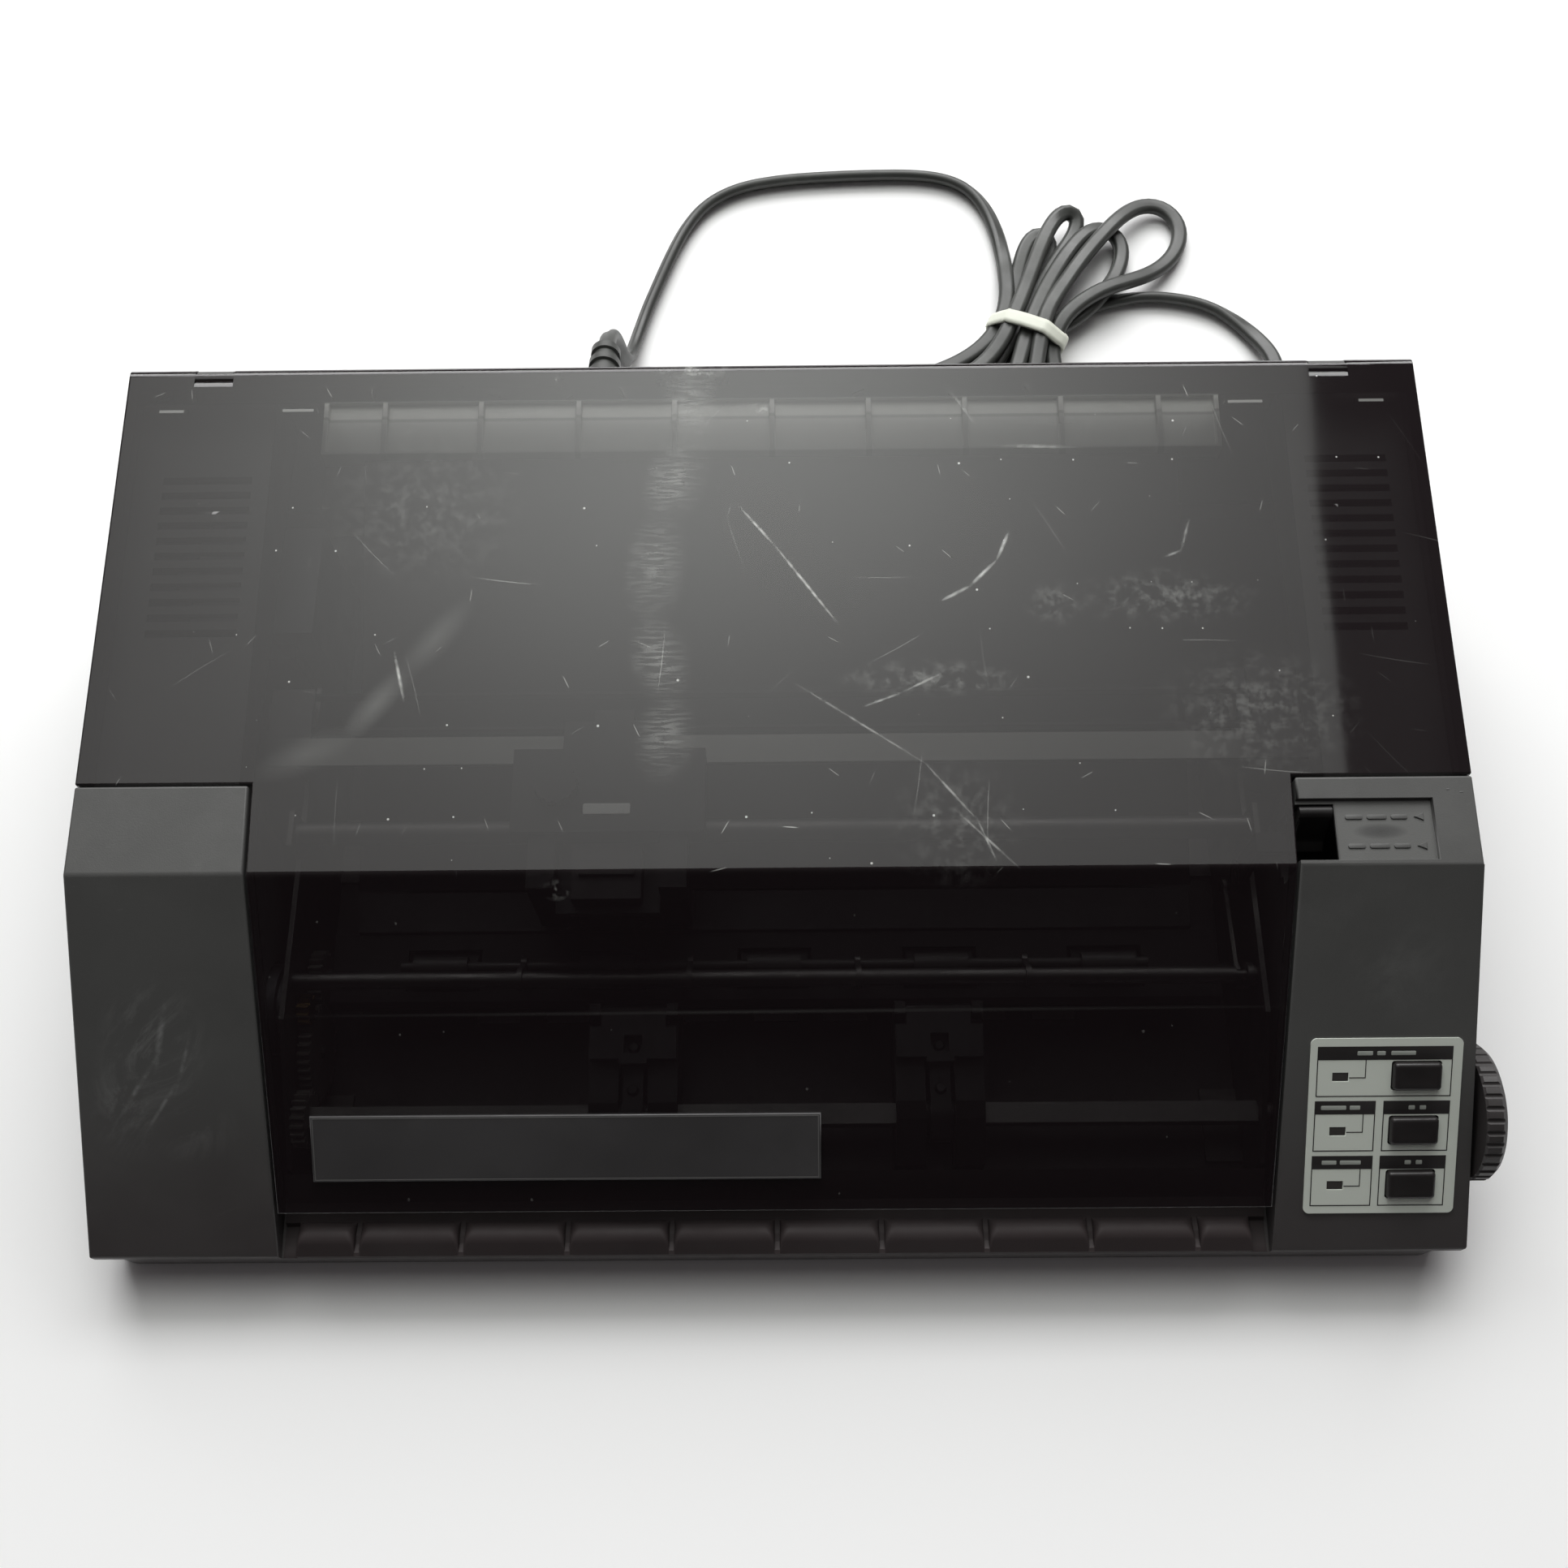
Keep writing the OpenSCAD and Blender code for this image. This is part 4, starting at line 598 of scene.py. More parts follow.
def smoked():
    """Smoked clear plastic: dust film, rubbed streaks and scratches on the top, a painted highlight on the locating
    ribs inside the rear edge, a cleaner dark front slope, and edges that look dense because light crosses them
    lengthwise.
    """
    m, nt, b = new_mat("smoked_plastic")
    co = tex_coord(nt)
    xy = flat_xy(nt, co)
    X, Y, Z = (axis(nt, co, k) for k in range(3))
    on_top = span(nt, Y, (YB - 131.0) / 1000, (YB - 129.2) / 1000)

    def path(pts, half, soft=0.3, gain=1.0):
        return most(nt, [streak(nt, xy, topxy(*a), topxy(*c), half, soft, gain) for a, c in zip(pts[:-1], pts[1:])])

    grit = ramp(nt, noise(nt, xy, 420, 0, 0.6), [(0.34, 0.50), (0.60, 1.0)])
    dashes = ramp(nt, noise(nt, xy, 1300, 0, 0.6, stretch=(0.13, 1.0, 1.0)), [(0.44, 0.0), (0.62, 1.0)])
    cloud = ramp(nt, noise(nt, xy, 230, 2, 0.8), [(0.46, 0.0), (0.68, 1.0)])
    dust = ramp(nt, noise(nt, xy, 14, 2, 0.6), [(0.30, 0.0), (0.75, 1.0)])
    # hairline scratches at listed places
    cuts = most(nt, [
        path([(-9.1, 112.5), (1.3, 99.8), (19.1, 75.2)], 0.00040, 0.25, 1.0),
        path([(8.2, 54.9), (43.8, 31)], 0.00034, 0.25, 0.55),
        path([(43.8, 31), (58.1, 13.9), (62.8, 2.1)], 0.00034, 0.25, 0.6),
        path([(52.5, 16.4), (68, 1.0)], 0.00034, 0.25, 0.6),
        path([(71.1, 103.6), (67, 94.3), (58.7, 86), (50.2, 81.4)], 0.00050, 0.25, 1.0),
        path([(26.8, 48.4), (37.6, 52.5), (49.4, 58.5)], 0.00036, 0.25, 0.7),
        path([(-106.5, 52), (-109.9, 66)], 0.00045, 0.25, 1.0),
        path([(93.0, 131.8), (70, 132.6)], 0.00055, 0.3, 0.42),
        path([(55.2, 152.1), (62.2, 140.7)], 0.0005, 0.3, 0.35),
        path([(125.1, 107.1), (122, 97), (117, 95)], 0.0004, 0.3, 0.5)])
    # broad rubbed streaks and smears
    broad = most(nt, [path([(-122, 40.5), (-106.4, 60.5)], 0.0031, 0.70, 1.0), path([(-106.4, 60.5), (-89.7, 81.4)], 0.0034, 0.85, 0.70), path([(-146, 29.6), (-121.5, 40.5)], 0.0040, 0.2, 0.55)])
    lane = most(nt, [path([(-24.8, 163), (-24.5, 136)], 0.0062, 0.2, 1.0), path([(-24.5, 136), (-32.7, 108.7), (-35.8, 77)], 0.0066, 0.2, 0.8), path([(-35.8, 77), (-29.4, 51.4), (-31.4, 26.8)], 0.0062, 0.2, 0.7)])
    patch = most(nt, [blob(nt, xy, topxy(116, 82), 0.030, 0.010, 0.1, 0.75), blob(nt, xy, topxy(83, 80), 0.010, 0.008, 0.1, 0.8), blob(nt, xy, topxy(46, 57), 0.030, 0.0065, 0.1, 0.9),
                      blob(nt, xy, topxy(140, 46), 0.032, 0.022, 0.1, 0.55), blob(nt, xy, topxy(-24, 161), 0.014, 0.005, 0.1, 1.5), blob(nt, xy, topxy(-4, 146), 0.008, 0.0025, 0.1, 1.6),
                      blob(nt, xy, topxy(-66.6, 156.8), 0.0022, 0.0018, 0.4, 2.0), blob(nt, xy, topxy(52, 14), 0.022, 0.020, 0.1, 0.45), blob(nt, xy, topxy(-104, 112), 0.036, 0.028, 0.1, 0.40),
                      blob(nt, xy, slopexy(-60.5, 109.5), 0.0042, 0.0028, 0.3, 2.2)])
    rubbed = math_(nt, "MULTIPLY", patch, cloud)

    # random scratches, nicks and specks, most of them on the right half
    long_, _, _ = nicks(nt, xy, 27, 3.1, 0.0125, 0.00024, 0.42, 2.2)
    short, dist_, pick = nicks(nt, xy, 72, 1.7, 0.0030, 0.00022, 0.74)
    fade = ramp(nt, dust, [(0.15, 0.15), (0.95, 1.0)])
    busy = math_(nt, "MULTIPLY", span(nt, X, -0.17, 0.0, 0.45, 1.0), span(nt, X, 0.165, 0.145, 0.3, 1.0))
    hairs = math_(nt, "MULTIPLY", math_(nt, "MULTIPLY", math_(nt, "MAXIMUM", math_(nt, "MULTIPLY", long_, 0.42), math_(nt, "MULTIPLY", short, 0.55)), busy), fade)
    speck = math_(nt, "MULTIPLY", span(nt, math_(nt, "ADD", dist_, math_(nt, "MULTIPLY", pick, 0.12)), 0.036, 0.018), math_(nt, "LESS_THAN", pick, 0.20))
    # painted highlight: light caught by the locating ribs inside the rear edge
    rib_y = span(nt, math_(nt, "ABSOLUTE", math_(nt, "SUBTRACT", Y, 0.1136)), 0.00060, 0.00035)
    rib_x = most(nt, [span(nt, math_(nt, "ABSOLUTE", math_(nt, "SUBTRACT", X, c)), h, h - 0.0004) for c, h in ((-0.188, 0.004), (-0.149, 0.005), (0.1415, 0.0055), (0.180, 0.004))])
    film = add_all(nt, math_(nt, "MULTIPLY", dust, 0.008), span(nt, X, 0.10, -0.19, 0.003, 0.013))
    top_marks_and_rib_highlight = add_all(nt, film, math_(nt, "MULTIPLY", math_(nt, "MULTIPLY", cuts, grit), 0.52), math_(nt, "MULTIPLY", broad, 0.085),
                        math_(nt, "MULTIPLY", lane, math_(nt, "ADD", math_(nt, "MULTIPLY", math_(nt, "MULTIPLY", dashes, fade), 0.27), 0.042)), math_(nt, "MULTIPLY", rubbed, 0.17),
                        math_(nt, "MULTIPLY", hairs, 1.35), math_(nt, "MULTIPLY", speck, 0.80), math_(nt, "MULTIPLY", math_(nt, "MULTIPLY", rib_x, rib_y), 0.30))
    slope_hair = math_(nt, "MULTIPLY", streak(nt, xy, slopexy(-127.7, 73.2), slopexy(139.6, 74), 0.0004, 0.2), 0.035)
    slope_marks = math_(nt, "ADD", add_all(nt, math_(nt, "MULTIPLY", hairs, 0.03), math_(nt, "MULTIPLY", speck, 0.14), math_(nt, "MULTIPLY", rubbed, 0.22), slope_hair), 0.001)
    haze_and_rib_highlight = math_(nt, "ADD", math_(nt, "MULTIPLY", top_marks_and_rib_highlight, on_top), math_(nt, "MULTIPLY", slope_marks, math_(nt, "SUBTRACT", 1.0, on_top)), clamp=True)
    # the cover's colour: dust and marks, with the painted rib highlight in it
    nt.links.new(mixc(nt, haze_and_rib_highlight, (0.0065, 0.0030, 0.0042), (0.62, 0.63, 0.60)), b.inputs["Base Color"])
    # the skirts and the rolled rear edge
    wall = math_(nt, "SUBTRACT", math_(nt, "ABSOLUTE", math_(nt, "ADD", X, 0.004)), math_(nt, "MULTIPLY", math_(nt, "SUBTRACT", Z, Z0 / 1000), -math.tan(math.radians(2))))
    inner = nt.nodes.new("ShaderNodeNewGeometry").outputs["Backfacing"]
    dense = math_(nt, "MULTIPLY", math_(nt, "MULTIPLY", math_(nt, "MAXIMUM", span(nt, wall, 0.1982, 0.1988), span(nt, Y, 0.1172, 0.1182)), on_top), inner)
    clear = math_(nt, "MULTIPLY", math_(nt, "ADD", 0.77, math_(nt, "MULTIPLY", haze_and_rib_highlight, 0.22)), math_(nt, "SUBTRACT", 1.0, inner))
    nt.links.new(math_(nt, "ADD", clear, dense, clamp=True), b.inputs["Alpha"])
    nt.links.new(math_(nt, "MULTIPLY", dense, 0.45), b.inputs["Metallic"])
    rr = math_(nt, "ADD", math_(nt, "MULTIPLY", dust, 0.02), 0.028)
    nt.links.new(math_(nt, "ADD", rr, math_(nt, "MULTIPLY", haze_and_rib_highlight, 0.35), clamp=True), b.inputs["Roughness"])
    b.inputs["IOR"].default_value = 1.5
    b.inputs["Specular IOR Level"].default_value = 0.68
    bump(nt, b, noise(nt, xy, 17, 0, 0.5), 0.12, 0.0010)
    return m


MAT["smoked_plastic"] = smoked()

for sub in frame["record"]["subparts"]:
    o = NODE[sub["node"]]
    o.data.materials.clear()
    o.data.materials.append(MAT[sub["material_slot"]])


NODE["knob"].data.materials[0] = plastic("knob_plastic", (0.034, 0.030, 0.030), 0.45, 0.15, 1300, 0.00004, light=(0.06, 0.056, 0.056), smudge=0.3)


# ------------------------------------------------------------------ rounded copies of CAD nodes
def rounded(node, width, seg=3, min_len=4.0, angle=24, name=None, weight=None):
    """A copy of a CAD node whose long edges are rounded; width and min_len in millimetres."""
    src = NODE[node]
    me = src.data.copy()
    me.name = name or node + "_body"
    o = bpy.data.objects.new(me.name, me)
    scene.collection.objects.link(o)
    bm = bmesh.new()
    bm.from_mesh(me)
    bmesh.ops.remove_doubles(bm, verts=bm.verts, dist=2e-6)
    bmesh.ops.dissolve_limit(bm, angle_limit=math.radians(0.6), verts=bm.verts, edges=bm.edges)
    bm.normal_update()
    many = [f for f in bm.faces if len(f.verts) > 24 and f.normal.y > 0.9 or len(f.verts) > 8 and f.normal.z < -0.5 or len(f.verts) > 4 and f.normal.y < -0.98]
    if many:  # rear and front walls and the faces below stay in triangles
        bmesh.ops.triangulate(bm, faces=many)
    lay = bm.edges.layers.float.get("bevel_weight_edge") or bm.edges.layers.float.new("bevel_weight_edge")
    for e in bm.edges:
        if len(e.link_faces) == 2 and e.calc_length() * 1000 >= min_len and e.calc_face_angle(0) > math.radians(angle):
            e[lay] = 1.0 if weight is None else weight((e.verts[0].co + e.verts[1].co) / 2, e)
    bm.to_mesh(me)
    bm.free()
    for p in me.polygons:
        p.use_smooth = True
    me.set_sharp_from_angle(angle=math.radians(32))
    b = o.modifiers.new("edge", "BEVEL")
    b.limit_method = "WEIGHT"
    b.width = width / 1000
    b.segments = seg
    b.use_clamp_overlap = False
    b.miter_outer = "MITER_ARC"
    b.harden_normals = False
    w = o.modifiers.new("normals", "WEIGHTED_NORMAL")
    w.keep_sharp = True
    return o


def round_in(node, width, body, slot, material=None, **kw):
    return put(rounded(node, width, **kw), material or MAT[slot], body, slot, node)


def case_edges(c, e):
    """Outer edges are rounded; those of the lever recess, the label's holes and the vents stay crisp."""
    x, y, z = c.x * 1000 + 4, c.y * 1000 + 129.5, c.z * 1000
    if 139 < x < 189 and 96.5 < y < 118 and z > 60:
        return 0.22 if e.calc_length() > 0.006 and (y < 99.5 or y > 115 or x > 184) and x > 160 else 0.0
    if 155 < x < 195 and 5 < y < 62 and fs(y, 12) < z < fs(y, -1):
        return 0.0
    if 165 < y < 240 and 158 < abs(x) < 192 and z > 60:
        return 0.0
    return 1.0


round_in("upper_case", 0.7, "base", "case_plastic", weight=case_edges)
round_in("lower_case", 0.5, "base", "case_plastic")
round_in("rear_guide", 0.25, "base", "guide_plastic")
# the cover's edges are rounded except at the two notches over the hinge knuckles
round_in("lid", 0.5, "lid", "smoked_plastic", weight=lambda c, e: 0.0 if c.y * 1000 + 129.5 > 250.5 and abs(abs(c.x * 1000 + 4) - 172) < 6.6 else 1.0)
round_in("nameplate", 0.35, "lid", "plate_film")
round_in("label_panel", 0.12, "base", "label_film", min_len=1.0)
round_in("mode_lever", 0.6, "lever", "black_plastic", min_len=2.0)


# ------------------------------------------------------------------ the cover's skin over its two hinge knuckles
skin = Solid()
for s_ in (-172, 172):
    arc_ = [math.radians(a) for a in range(-36, 11, 4)]
    prof = [(251.2, tp(251.2, 0.02)), (252.6, tp(252.6, 0.02))] + [(HY + 3.39 * math.sin(a), HZ + 3.39 * math.cos(a)) for a in arc_ if HY + 3.39 * math.sin(a) > 253.2]
    back_ = [(HY + 3.24 * math.sin(a), HZ + 3.24 * math.cos(a)) for a in arc_[::-1] if HY + 3.24 * math.sin(a) > 253.2]
    prof += back_ + [(252.2, back_[-1][1] - 0.5), (251.2, tp(251.2, 1.4))]
    skin.loft([[W(x, y, z) for y, z in prof] for x in (s_ - 6.0, s_ + 6.0)])
put(skin.make("cover_skin", 30), MAT["smoked_plastic"], "lid", "smoked_plastic")


# ------------------------------------------------------------------ push buttons
def key_cap(name, s, body, node):
    """A button with a flange below, straight sides, a rounded shoulder and a slightly dished top."""
    g = Solid()
    ring = lambda i, d, r: [onF(x, y, d) for x, y in rr_ring(176.2 + i, 190 - i, s + i, s + 8.3 - i, r)]
    flange = lambda i, d: [onF(x, y, d) for x, y in rr_ring(175.4 + i, 190.8 - i, s - 0.8 + i, s + 9.1 - i, 0.9)]
    rings = [flange(0.15, -4.6), flange(0.0, -4.4), flange(0.0, -3.3), flange(0.15, -3.2), ring(0.1, -3.2, 1.2), ring(0.0, -3.1, 1.2), ring(0.0, 0.4, 1.2), ring(0.0, 1.25, 1.2)]
    for k in range(1, 7):
        a = math.radians(90 * k / 6)
        rings.append(ring(1.15 * (1 - math.cos(a)), 1.25 + 1.2 * math.sin(a), max(1.2 - 0.7 * (1 - math.cos(a)), 0.5)))
    rings += [ring(1.7, 2.44, 0.45), ring(2.4, 2.36, 0.4), ring(3.3, 2.29, 0.3), ring(3.9, 2.27, 0.15)]
    g.loft(rings)
    return put(g.make(name, 50), key_black, body, "black_plastic", node)


for i, (nm, s) in enumerate((("button_online", 49.2), ("button_form_feed", 32.8), ("button_line_feed", 16.4))):
    key_cap(nm + "_cap", s, "button_%d" % (i + 1), nm)


# ------------------------------------------------------------------ printing on the control label
def tile(g, x0, x1, s0, s1, d0=0.5, d1=0.58, r=0.0, place=onF):
    """A thin raised print on a slope."""
    e = min(0.06, (x1 - x0) / 4, (s1 - s0) / 4)
    rr = max(r, 0.05)
    lo = [place(x, y, d0 - 0.05) for x, y in rr_ring(x0, x1, s0, s1, rr, 3)]
    mid = [place(x, y, d1 - 0.02) for x, y in rr_ring(x0, x1, s0, s1, rr, 3)]
    hi = [place(x, y, d1) for x, y in rr_ring(x0 + e, x1 - e, s0 + e, s1 - e, max(rr - e, 0.03), 3)]
    g.loft([lo, mid, hi])


def outline(g, x0, x1, s0, s1, w=0.28):
    tile(g, x0, x1, s0, s0 + w)
    tile(g, x0, x0 + w, s0 + w, s1)
    tile(g, x1 - w, x1, s0 + w, s1)


ink, pale, lens = Solid(), Solid(), Solid()
fields = [(154.7, 193.2, 47.1, 58.1, 62.1), (154.6, 172.0, 30.6, 41.8, 45.8), (174.2, 193.2, 30.6, 41.8, 45.8), (154.5, 172.0, 13.9, 25.2, 29.2), (174.0, 193.0, 13.9, 25.2, 29.2)]
for x0, x1, s0, sh, s1 in fields:
    tile(ink, x0, x1, sh, s1)
    outline(ink, x0, x1, s0, sh)
# the headers carry short plain bars in place of words
for bars, sm in (([(166.0, 170.4), (171.6, 174.0), (175.6, 182.6)], 60.1), ([(156.4, 163.6), (164.6, 167.6)], 43.8), ([(181.4, 183.2), (184.6, 186.4)], 43.8), ([(157.4, 161.6), (162.6, 168.6)], 27.2), ([(181.2, 183.0), (184.4, 186.2)], 27.2)):
    for a, b_ in bars:
        tile(pale, a, b_, sm - 0.62, sm + 0.62, 0.58, 0.64, 0.25)
# leader lines from each lamp up to its header
for s, top_s in ((51.7, 58.1), (35.3, 41.8), (18.9, 25.2)):
    tile(ink, 164.0, 168.7, s + 0.95, s + 1.2)
    tile(ink, 168.45, 168.7, s + 1.2, top_s)
    # lamp lens, set a little below the label's face
    ring = lambda i, d: [onF(x, y, d) for x, y in rr_ring(159.3 + i, 163.7 - i, s + 0.1 + i, s + 2.5 - i, 0.25, 3)]
    lens.loft([ring(0, -0.2), ring(0, 0.2), ring(0.12, 0.3), ring(0.5, 0.33)])
put(ink.make("label_frames", recalc=True), print_ink, "base", "plate_film")
put(pale.make("label_marks"), print_pale, "base", "label_film")
put(lens.make("lamp_lenses"), lamp_lens, "base", "black_plastic")


# the nameplate's face is bare, with a thin pressed line round it
rim = Solid()
for x0, x1, s0, s1 in ((-132.9, 12.7, 24.1, 24.35), (-132.9, 12.7, 42.75, 43.0), (-132.9, -132.65, 24.35, 42.75), (12.45, 12.7, 24.35, 42.75)):
    tile(rim, x0, x1, s0, s1, 1.2, 1.27)
rim_mat = plastic("plate_rim", (0.12, 0.118, 0.115), 0.40, 0.12, 1500, 0.00001)
put(rim.make("nameplate_rim"), rim_mat, "lid", "plate_film")

# a pale tab on top of the ribbon cartridge
tab = Solid()
tab.loft([[W(x, y, z) for x, y in rr_ring(-54.6 + i, -40.9 - i, 116.2 + i, 119.6 - i, 0.5, 3)] for i, z in ((0, 74.45), (0, 74.8), (0.15, 74.95))])
put(tab.make("ribbon_tab"), plastic("tab_plastic", (0.85, 0.86, 0.82), 0.45, 0.08, 900, 0.00002), CARRIER, "nylon")


# ------------------------------------------------------------------ marks in the lever recess
marks = Solid()
for s in (14.3, 5.8):
    tri = [(181.3, s), (184.0, s + 1.15), (184.0, s - 1.15)]
    cx, cy = sum(p[0] for p in tri) / 3, s
    rings = [[onT(cx + (x - cx) * k, cy + (y - cy) * k, d) for x, y in tri] for k, d in ((1.0, -1.65), (1.0, -1.35), (0.80, -1.2))]
    marks.loft(rings)
    for x0, x1 in ((161.9, 166.8), (168.0, 173.6), (174.8, 179.4)):
        tile(marks, x0, x1, s - 0.62, s + 0.62, -1.65, -1.25, 0.55, onT)
for x, s in ((191.3, 21.9), (195.0, 21.0)):
    tile(marks, x - 0.5, x + 0.5, s - 0.2, s + 0.2, -0.02, 0.08, 0.18, onT)
recess_mat = plastic("recess_marks", (0.085, 0.085, 0.083), 0.48, 0.10, 2400, 0.00004, light=(0.16, 0.16, 0.155), smudge=0.3)
put(marks.make("recess_marks"), recess_mat, "base", "case_plastic")


# ------------------------------------------------------------------ front sill, with pads rounded towards its grooves
def sill():
    cells = [-122.5, -92, -61, -30.5, 0.4, 31, 61.5, 92, 122.9]
    outer = [(1.0, fs(1.0)), (2.0, fs(2.0)), (3.0, 20.94)]
    a0, a1 = math.atan2(20.94 - 17.08, 3.0 - 5.5), math.atan2(18.19 - 17.08, 9.96 - 5.5)
    outer += [(5.5 + 4.6 * math.cos(a0 + (a1 - a0) * k / 22), 17.08 + 4.6 * math.sin(a0 + (a1 - a0) * k / 22)) for k in range(1, 23)]
    outer = np.array(outer)
    seg = np.r_[0, np.cumsum(np.linalg.norm(np.diff(outer, axis=0), axis=1))]
    seg /= seg[-1]
    floor_line = np.array([(1.0, fs(1.0)), (3.4, 18.7), (6.0, 18.9), (8.4, 18.2), (9.96, 18.19)])
    fseg = np.r_[0, np.cumsum(np.linalg.norm(np.diff(floor_line, axis=0), axis=1))]
    fseg /= fseg[-1]
    groove = np.stack([np.interp(seg, fseg, floor_line[:, k]) for k in (0, 1)], 1)
    end_line = np.array([(1.0, 16.6), (5.5, 16.5), (9.0, 16.6), (9.9, 18.0)])
    eseg = np.r_[0, np.cumsum(np.linalg.norm(np.diff(end_line, axis=0), axis=1))]
    eseg /= eseg[-1]
    gap = np.stack([np.interp(seg, eseg, end_line[:, k]) for k in (0, 1)], 1)
    head = [(0.0, 15.6), (0.0, fs(0.0))]
    head_gap = [(0.0, 15.6), (0.0, 16.4)]
    tail_ = [(15.6, 18.5), (22.8, 25.4), (22.8, 23.6), (16.6, 17.2), (16.6, 15.6)]
    # radius of the pad's edge: wide behind the crest, narrow at the front
    rad = 0.75 + 2.5 * np.clip((outer[:, 0] - 1.6) / 6.0, 0, 1) ** 1.2

    def pad_line(dx):
        f = np.clip(1 - dx / rad, 0, 1)
        sink = (1 - np.sqrt(np.clip(1 - f * f, 0, 1)))[:, None]
        reach = np.clip(rad / 2.6, 0.25, 1.0)[:, None]
        fade = np.clip(np.minimum(seg, 1 - seg) / 0.10, 0, 1)[:, None]
        return outer + (groove - outer) * sink * reach * fade

    pads = []
    left = -140.2
    for c in cells:
        pads.append((left, c - 0.75))
        left = c + 0.75
    pads.append((left, 138.8))
    stations = [(-144.6, gap, head_gap), (-140.2, gap, head_gap)]
    for k, (x0, x1) in enumerate(pads):
        dxs = [0, 0.12, 0.3, 0.55, 0.85, 1.2, 1.6, 2.1, 2.7, 3.3]
        inner = list(np.linspace(x0 + 4.2, x1 - 4.2, max(3, int((x1 - x0) / 6))))
        for d in dxs:
            stations.append((x0 + d, pad_line(d), head))
        for x in inner:
            stations.append((x, outer, head))
        for d in dxs[::-1]:
            stations.append((x1 - d, pad_line(d), head))
        if k < len(pads) - 1:
            stations += [(x1, groove, head), (pads[k + 1][0], groove, head)]
    stations += [(138.8, gap, head_gap), (143.6, gap, head_gap)]
    g = Solid()
    g.loft([[W(x, y, z) for y, z in (*hd, *[tuple(p) for p in line], *tail_)] for x, line, hd in stations])
    return g.make("front_sill_pads", 38)


# the sill is of the case's plastic; its darker, browner colour is painted shade on its front-facing pads
sill_shade_mat = plastic("sill_plastic_shaded", (0.034, 0.0265, 0.027), 0.60, 0.14, 2400, 0.00004, light=(0.045, 0.041, 0.041), smudge=0.3, spec=0.22)
put(sill(), sill_shade_mat, "base", "case_plastic", "front_sill")

# ------------------------------------------------------------------ lead, tie and plug in place
put(cord, MAT["cord_pvc"], "base", "cord_pvc", "cord_lead", "cord_hank", "cord_tail")
plug = round_in("plug", 0.5, "base", "black_plastic", min_len=3.0)
plug.data.materials.append(bright_steel)
for p in plug.data.polygons:
    if p.center.z > 0.01335:
        p.material_index = 1

T0 = np.array([94.5, 336.6])
UA = np.array([0.42, 0.907])
AC = np.array([0.907, -0.42])


def tie_band():
    """A flat plastic strip wrapped round the bundle where its strands are closest."""
    rel = route[:, :2] - T0
    along, across = rel @ UA, rel @ AC
    near = (np.abs(along) < 4) & (np.abs(across) < 22)
    pts = np.stack([across[near], route[near][:, 2]], 1)
    ring = []
    n = 72
    for k in range(n):
        a = 2 * math.pi * k / n
        d = np.array([math.cos(a), math.sin(a)])
        ext = np.array([3.15 * abs(d[0]), 2.3 * abs(d[1])])
        ring.append(((pts @ d) + np.hypot(*ext)).max())
    hull = []
    for k in range(n):
        a0, a1 = 2 * math.pi * k / n, 2 * math.pi * (k + 1) / n
        M = np.array([[math.cos(a0), math.sin(a0)], [math.cos(a1), math.sin(a1)]])
        hull.append(np.linalg.solve(M, [ring[k], ring[(k + 1) % n]]))
    hull = np.array(hull)
    hull[:, 1] = np.maximum(hull[:, 1], 0.6)
    V, F = [], []
    sect = [(-3.0, 0.0), (-2.9, 0.9), (-1.2, 1.15), (0.0, 1.0), (1.2, 1.15), (2.9, 0.9), (3.0, 0.0), (0.0, -0.1)]
    c = hull.mean(0)
    for k, h in enumerate(hull):
        out = (h - c) / np.linalg.norm(h - c)
        wob = 0.5 * math.sin(k * 0.35) + 0.25 * math.sin(k * 0.9 + 1)
        for (l, t) in sect:
            q = h + out * t
            p = T0 + AC * q[0] + UA * (l + wob * 0.6)
            V.append(W(p[0], p[1], max(q[1], 0.15)))
    m = len(sect)
    for k in range(n):
        k2 = (k + 1) % n
        for j in range(m):
            F.append((k * m + j, k2 * m + j, k2 * m + (j + 1) % m, k * m + (j + 1) % m))
    return obj_from("lead_tie", V, F)


tie = put(tie_band(), MAT["tie_plastic"], "base", "tie_plastic", "cord_tie")

# ------------------------------------------------------------------ floor and light
bm = bmesh.new()
bmesh.ops.create_grid(bm, x_segments=2, y_segments=2, size=4.0)
fm = bpy.data.meshes.new("floor")
bm.to_mesh(fm)
bm.free()
floor = bpy.data.objects.new("floor", fm)
scene.collection.objects.link(floor)
fmat, fnt, fb = new_mat("floor")
fb.inputs["Base Color"].default_value = (0.97, 0.97, 0.97, 1)
fb.inputs["Roughness"].default_value = 0.9
fm.materials.append(fmat)

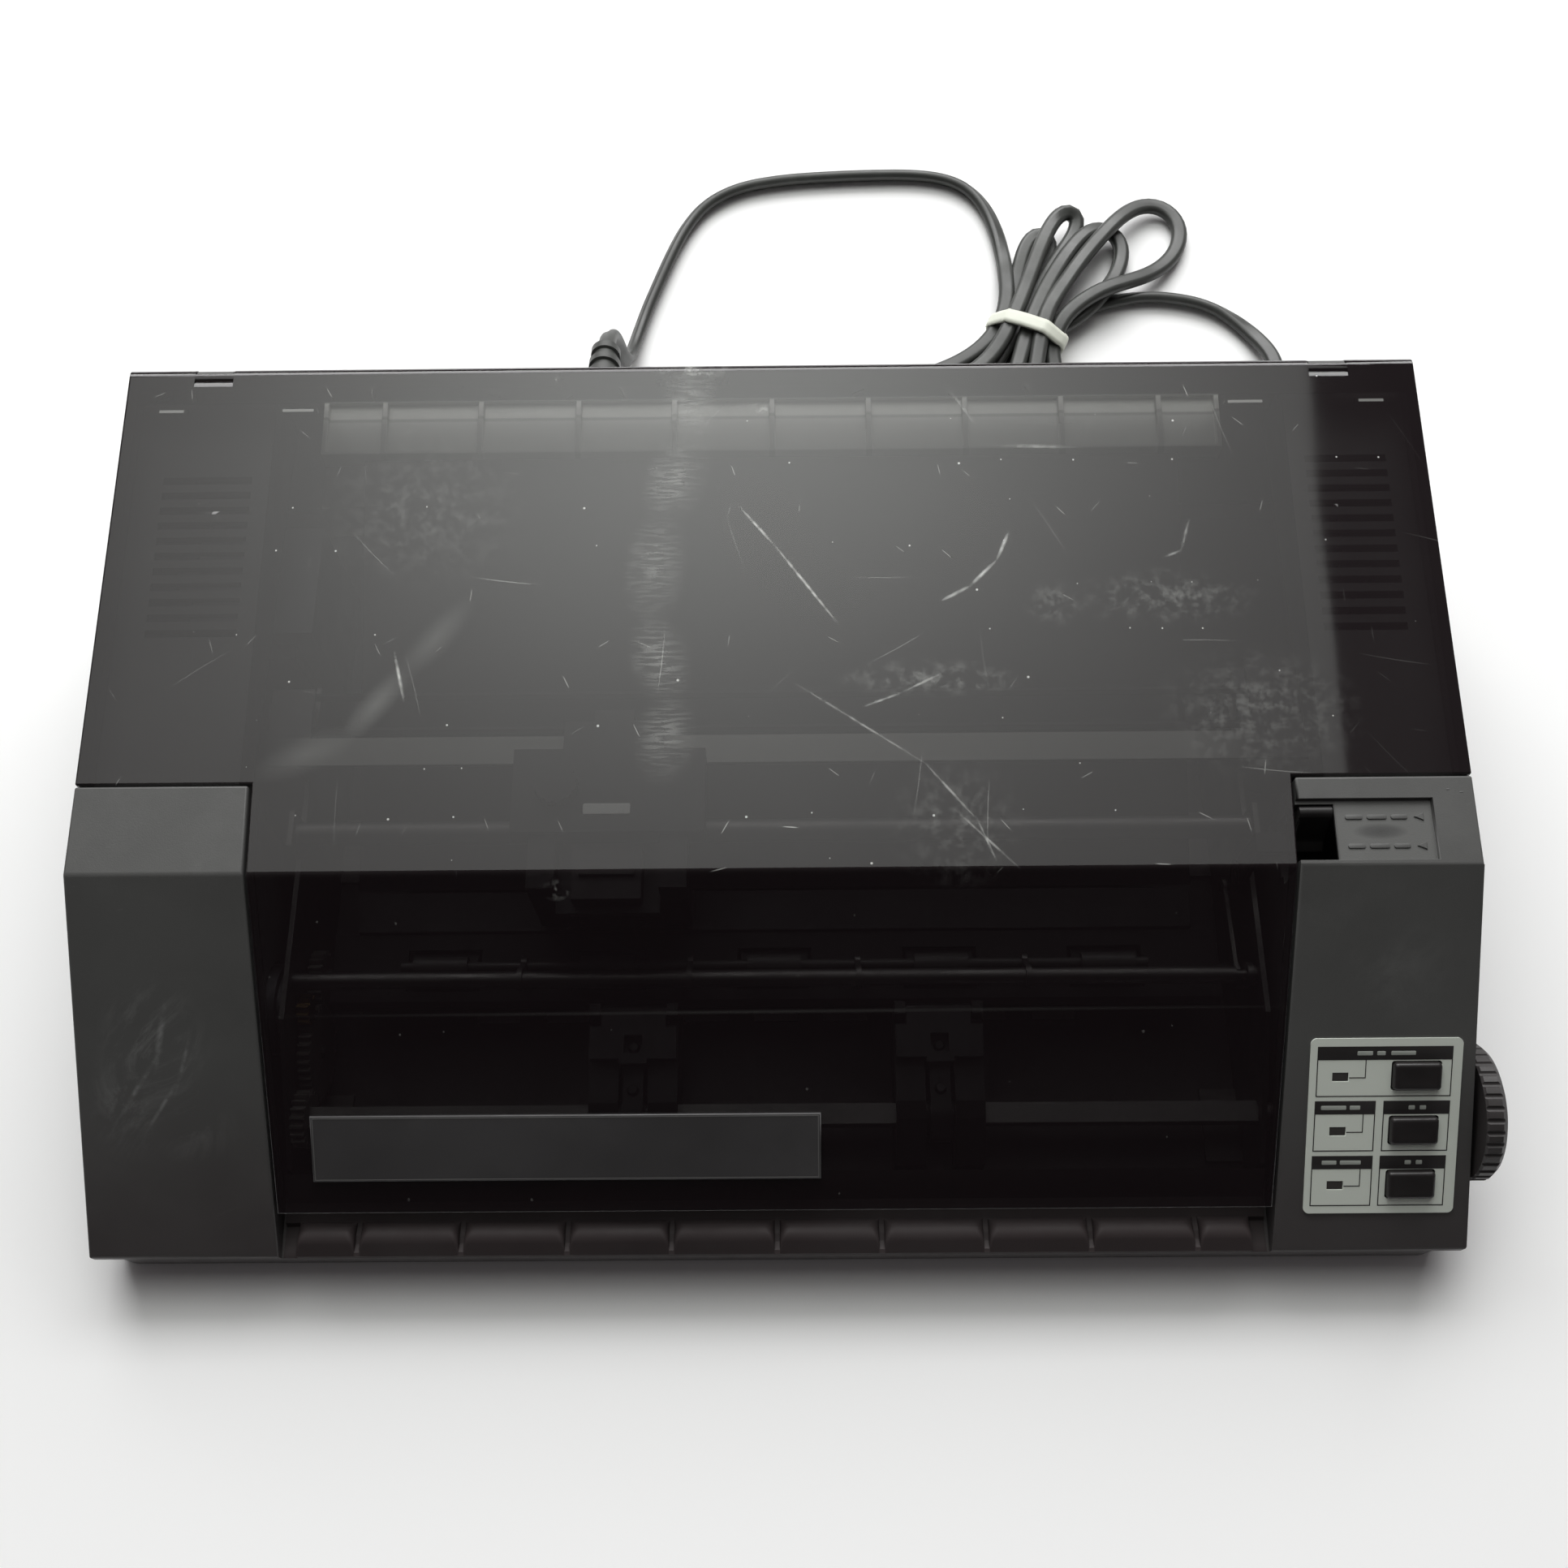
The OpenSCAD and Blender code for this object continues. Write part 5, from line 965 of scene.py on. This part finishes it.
# a dim room: darker towards the front, so the cover's slope mirrors something dark
world = bpy.data.worlds.new("studio")
scene.world = world
world.use_nodes = True
wt = world.node_tree
gy = axis(wt, wt.nodes.new("ShaderNodeTexCoord").outputs["Generated"], 1)
wt.links.new(span(wt, gy, -0.7, 0.6, 0.05, 0.16), wt.nodes["Background"].inputs["Strength"])
wt.nodes["Background"].inputs["Color"].default_value = (1.0, 0.93, 0.95, 1)


def area(name, loc, size, power, target=None, color=(1, 1, 1)):
    d = bpy.data.lights.new(name, "AREA")
    d.shape = "RECTANGLE"
    d.size, d.size_y = size
    d.energy = power
    d.color = color
    o = bpy.data.objects.new(name, d)
    scene.collection.objects.link(o)
    o.location = loc
    if target is not None:
        o.rotation_mode = "QUATERNION"
        o.rotation_quaternion = (Vector(target) - Vector(loc)).to_track_quat("-Z", "Y")
    return o


# soft box overhead, brightest at its back edge; its radiance falls off smoothly over its face
BX0, BX1, BY0, BY1 = -1.15, 0.67, 0.05, 1.10
box_light = area("overhead", ((BX0 + BX1) / 2, (BY0 + BY1) / 2, 1.59), (BX1 - BX0, BY1 - BY0), math.pi * (BX1 - BX0) * (BY1 - BY0), color=(0.975, 1.0, 0.968))
box_light.data.use_nodes = True
lt = box_light.data.node_tree
uv = lt.nodes.new("ShaderNodeNewGeometry").outputs["Parametric"]
lx = math_(lt, "ADD", math_(lt, "MULTIPLY", axis(lt, uv, 0), BX1 - BX0), BX0)
ly = math_(lt, "ADD", math_(lt, "MULTIPLY", axis(lt, uv, 1), BY1 - BY0), BY0)
dx = math_(lt, "DIVIDE", math_(lt, "POWER", math_(lt, "ABSOLUTE", math_(lt, "ADD", lx, 0.10)), 2.0), 0.30)
dy = math_(lt, "DIVIDE", math_(lt, "POWER", math_(lt, "ABSOLUTE", math_(lt, "SUBTRACT", ly, 0.92)), 2.0), 0.22)
fall = math_(lt, "EXPONENT", math_(lt, "MULTIPLY", math_(lt, "ADD", dx, dy), -1.0))
lt.links.new(math_(lt, "ADD", math_(lt, "MULTIPLY", fall, 3.7), 0.92), lt.nodes["Emission"].inputs["Strength"])
# large soft light from behind, which lights the floor and the top but hardly the front slope
area("behind", (0.0, 2.2, 1.8), (3.2, 1.5), 100, (0, 0, 0))
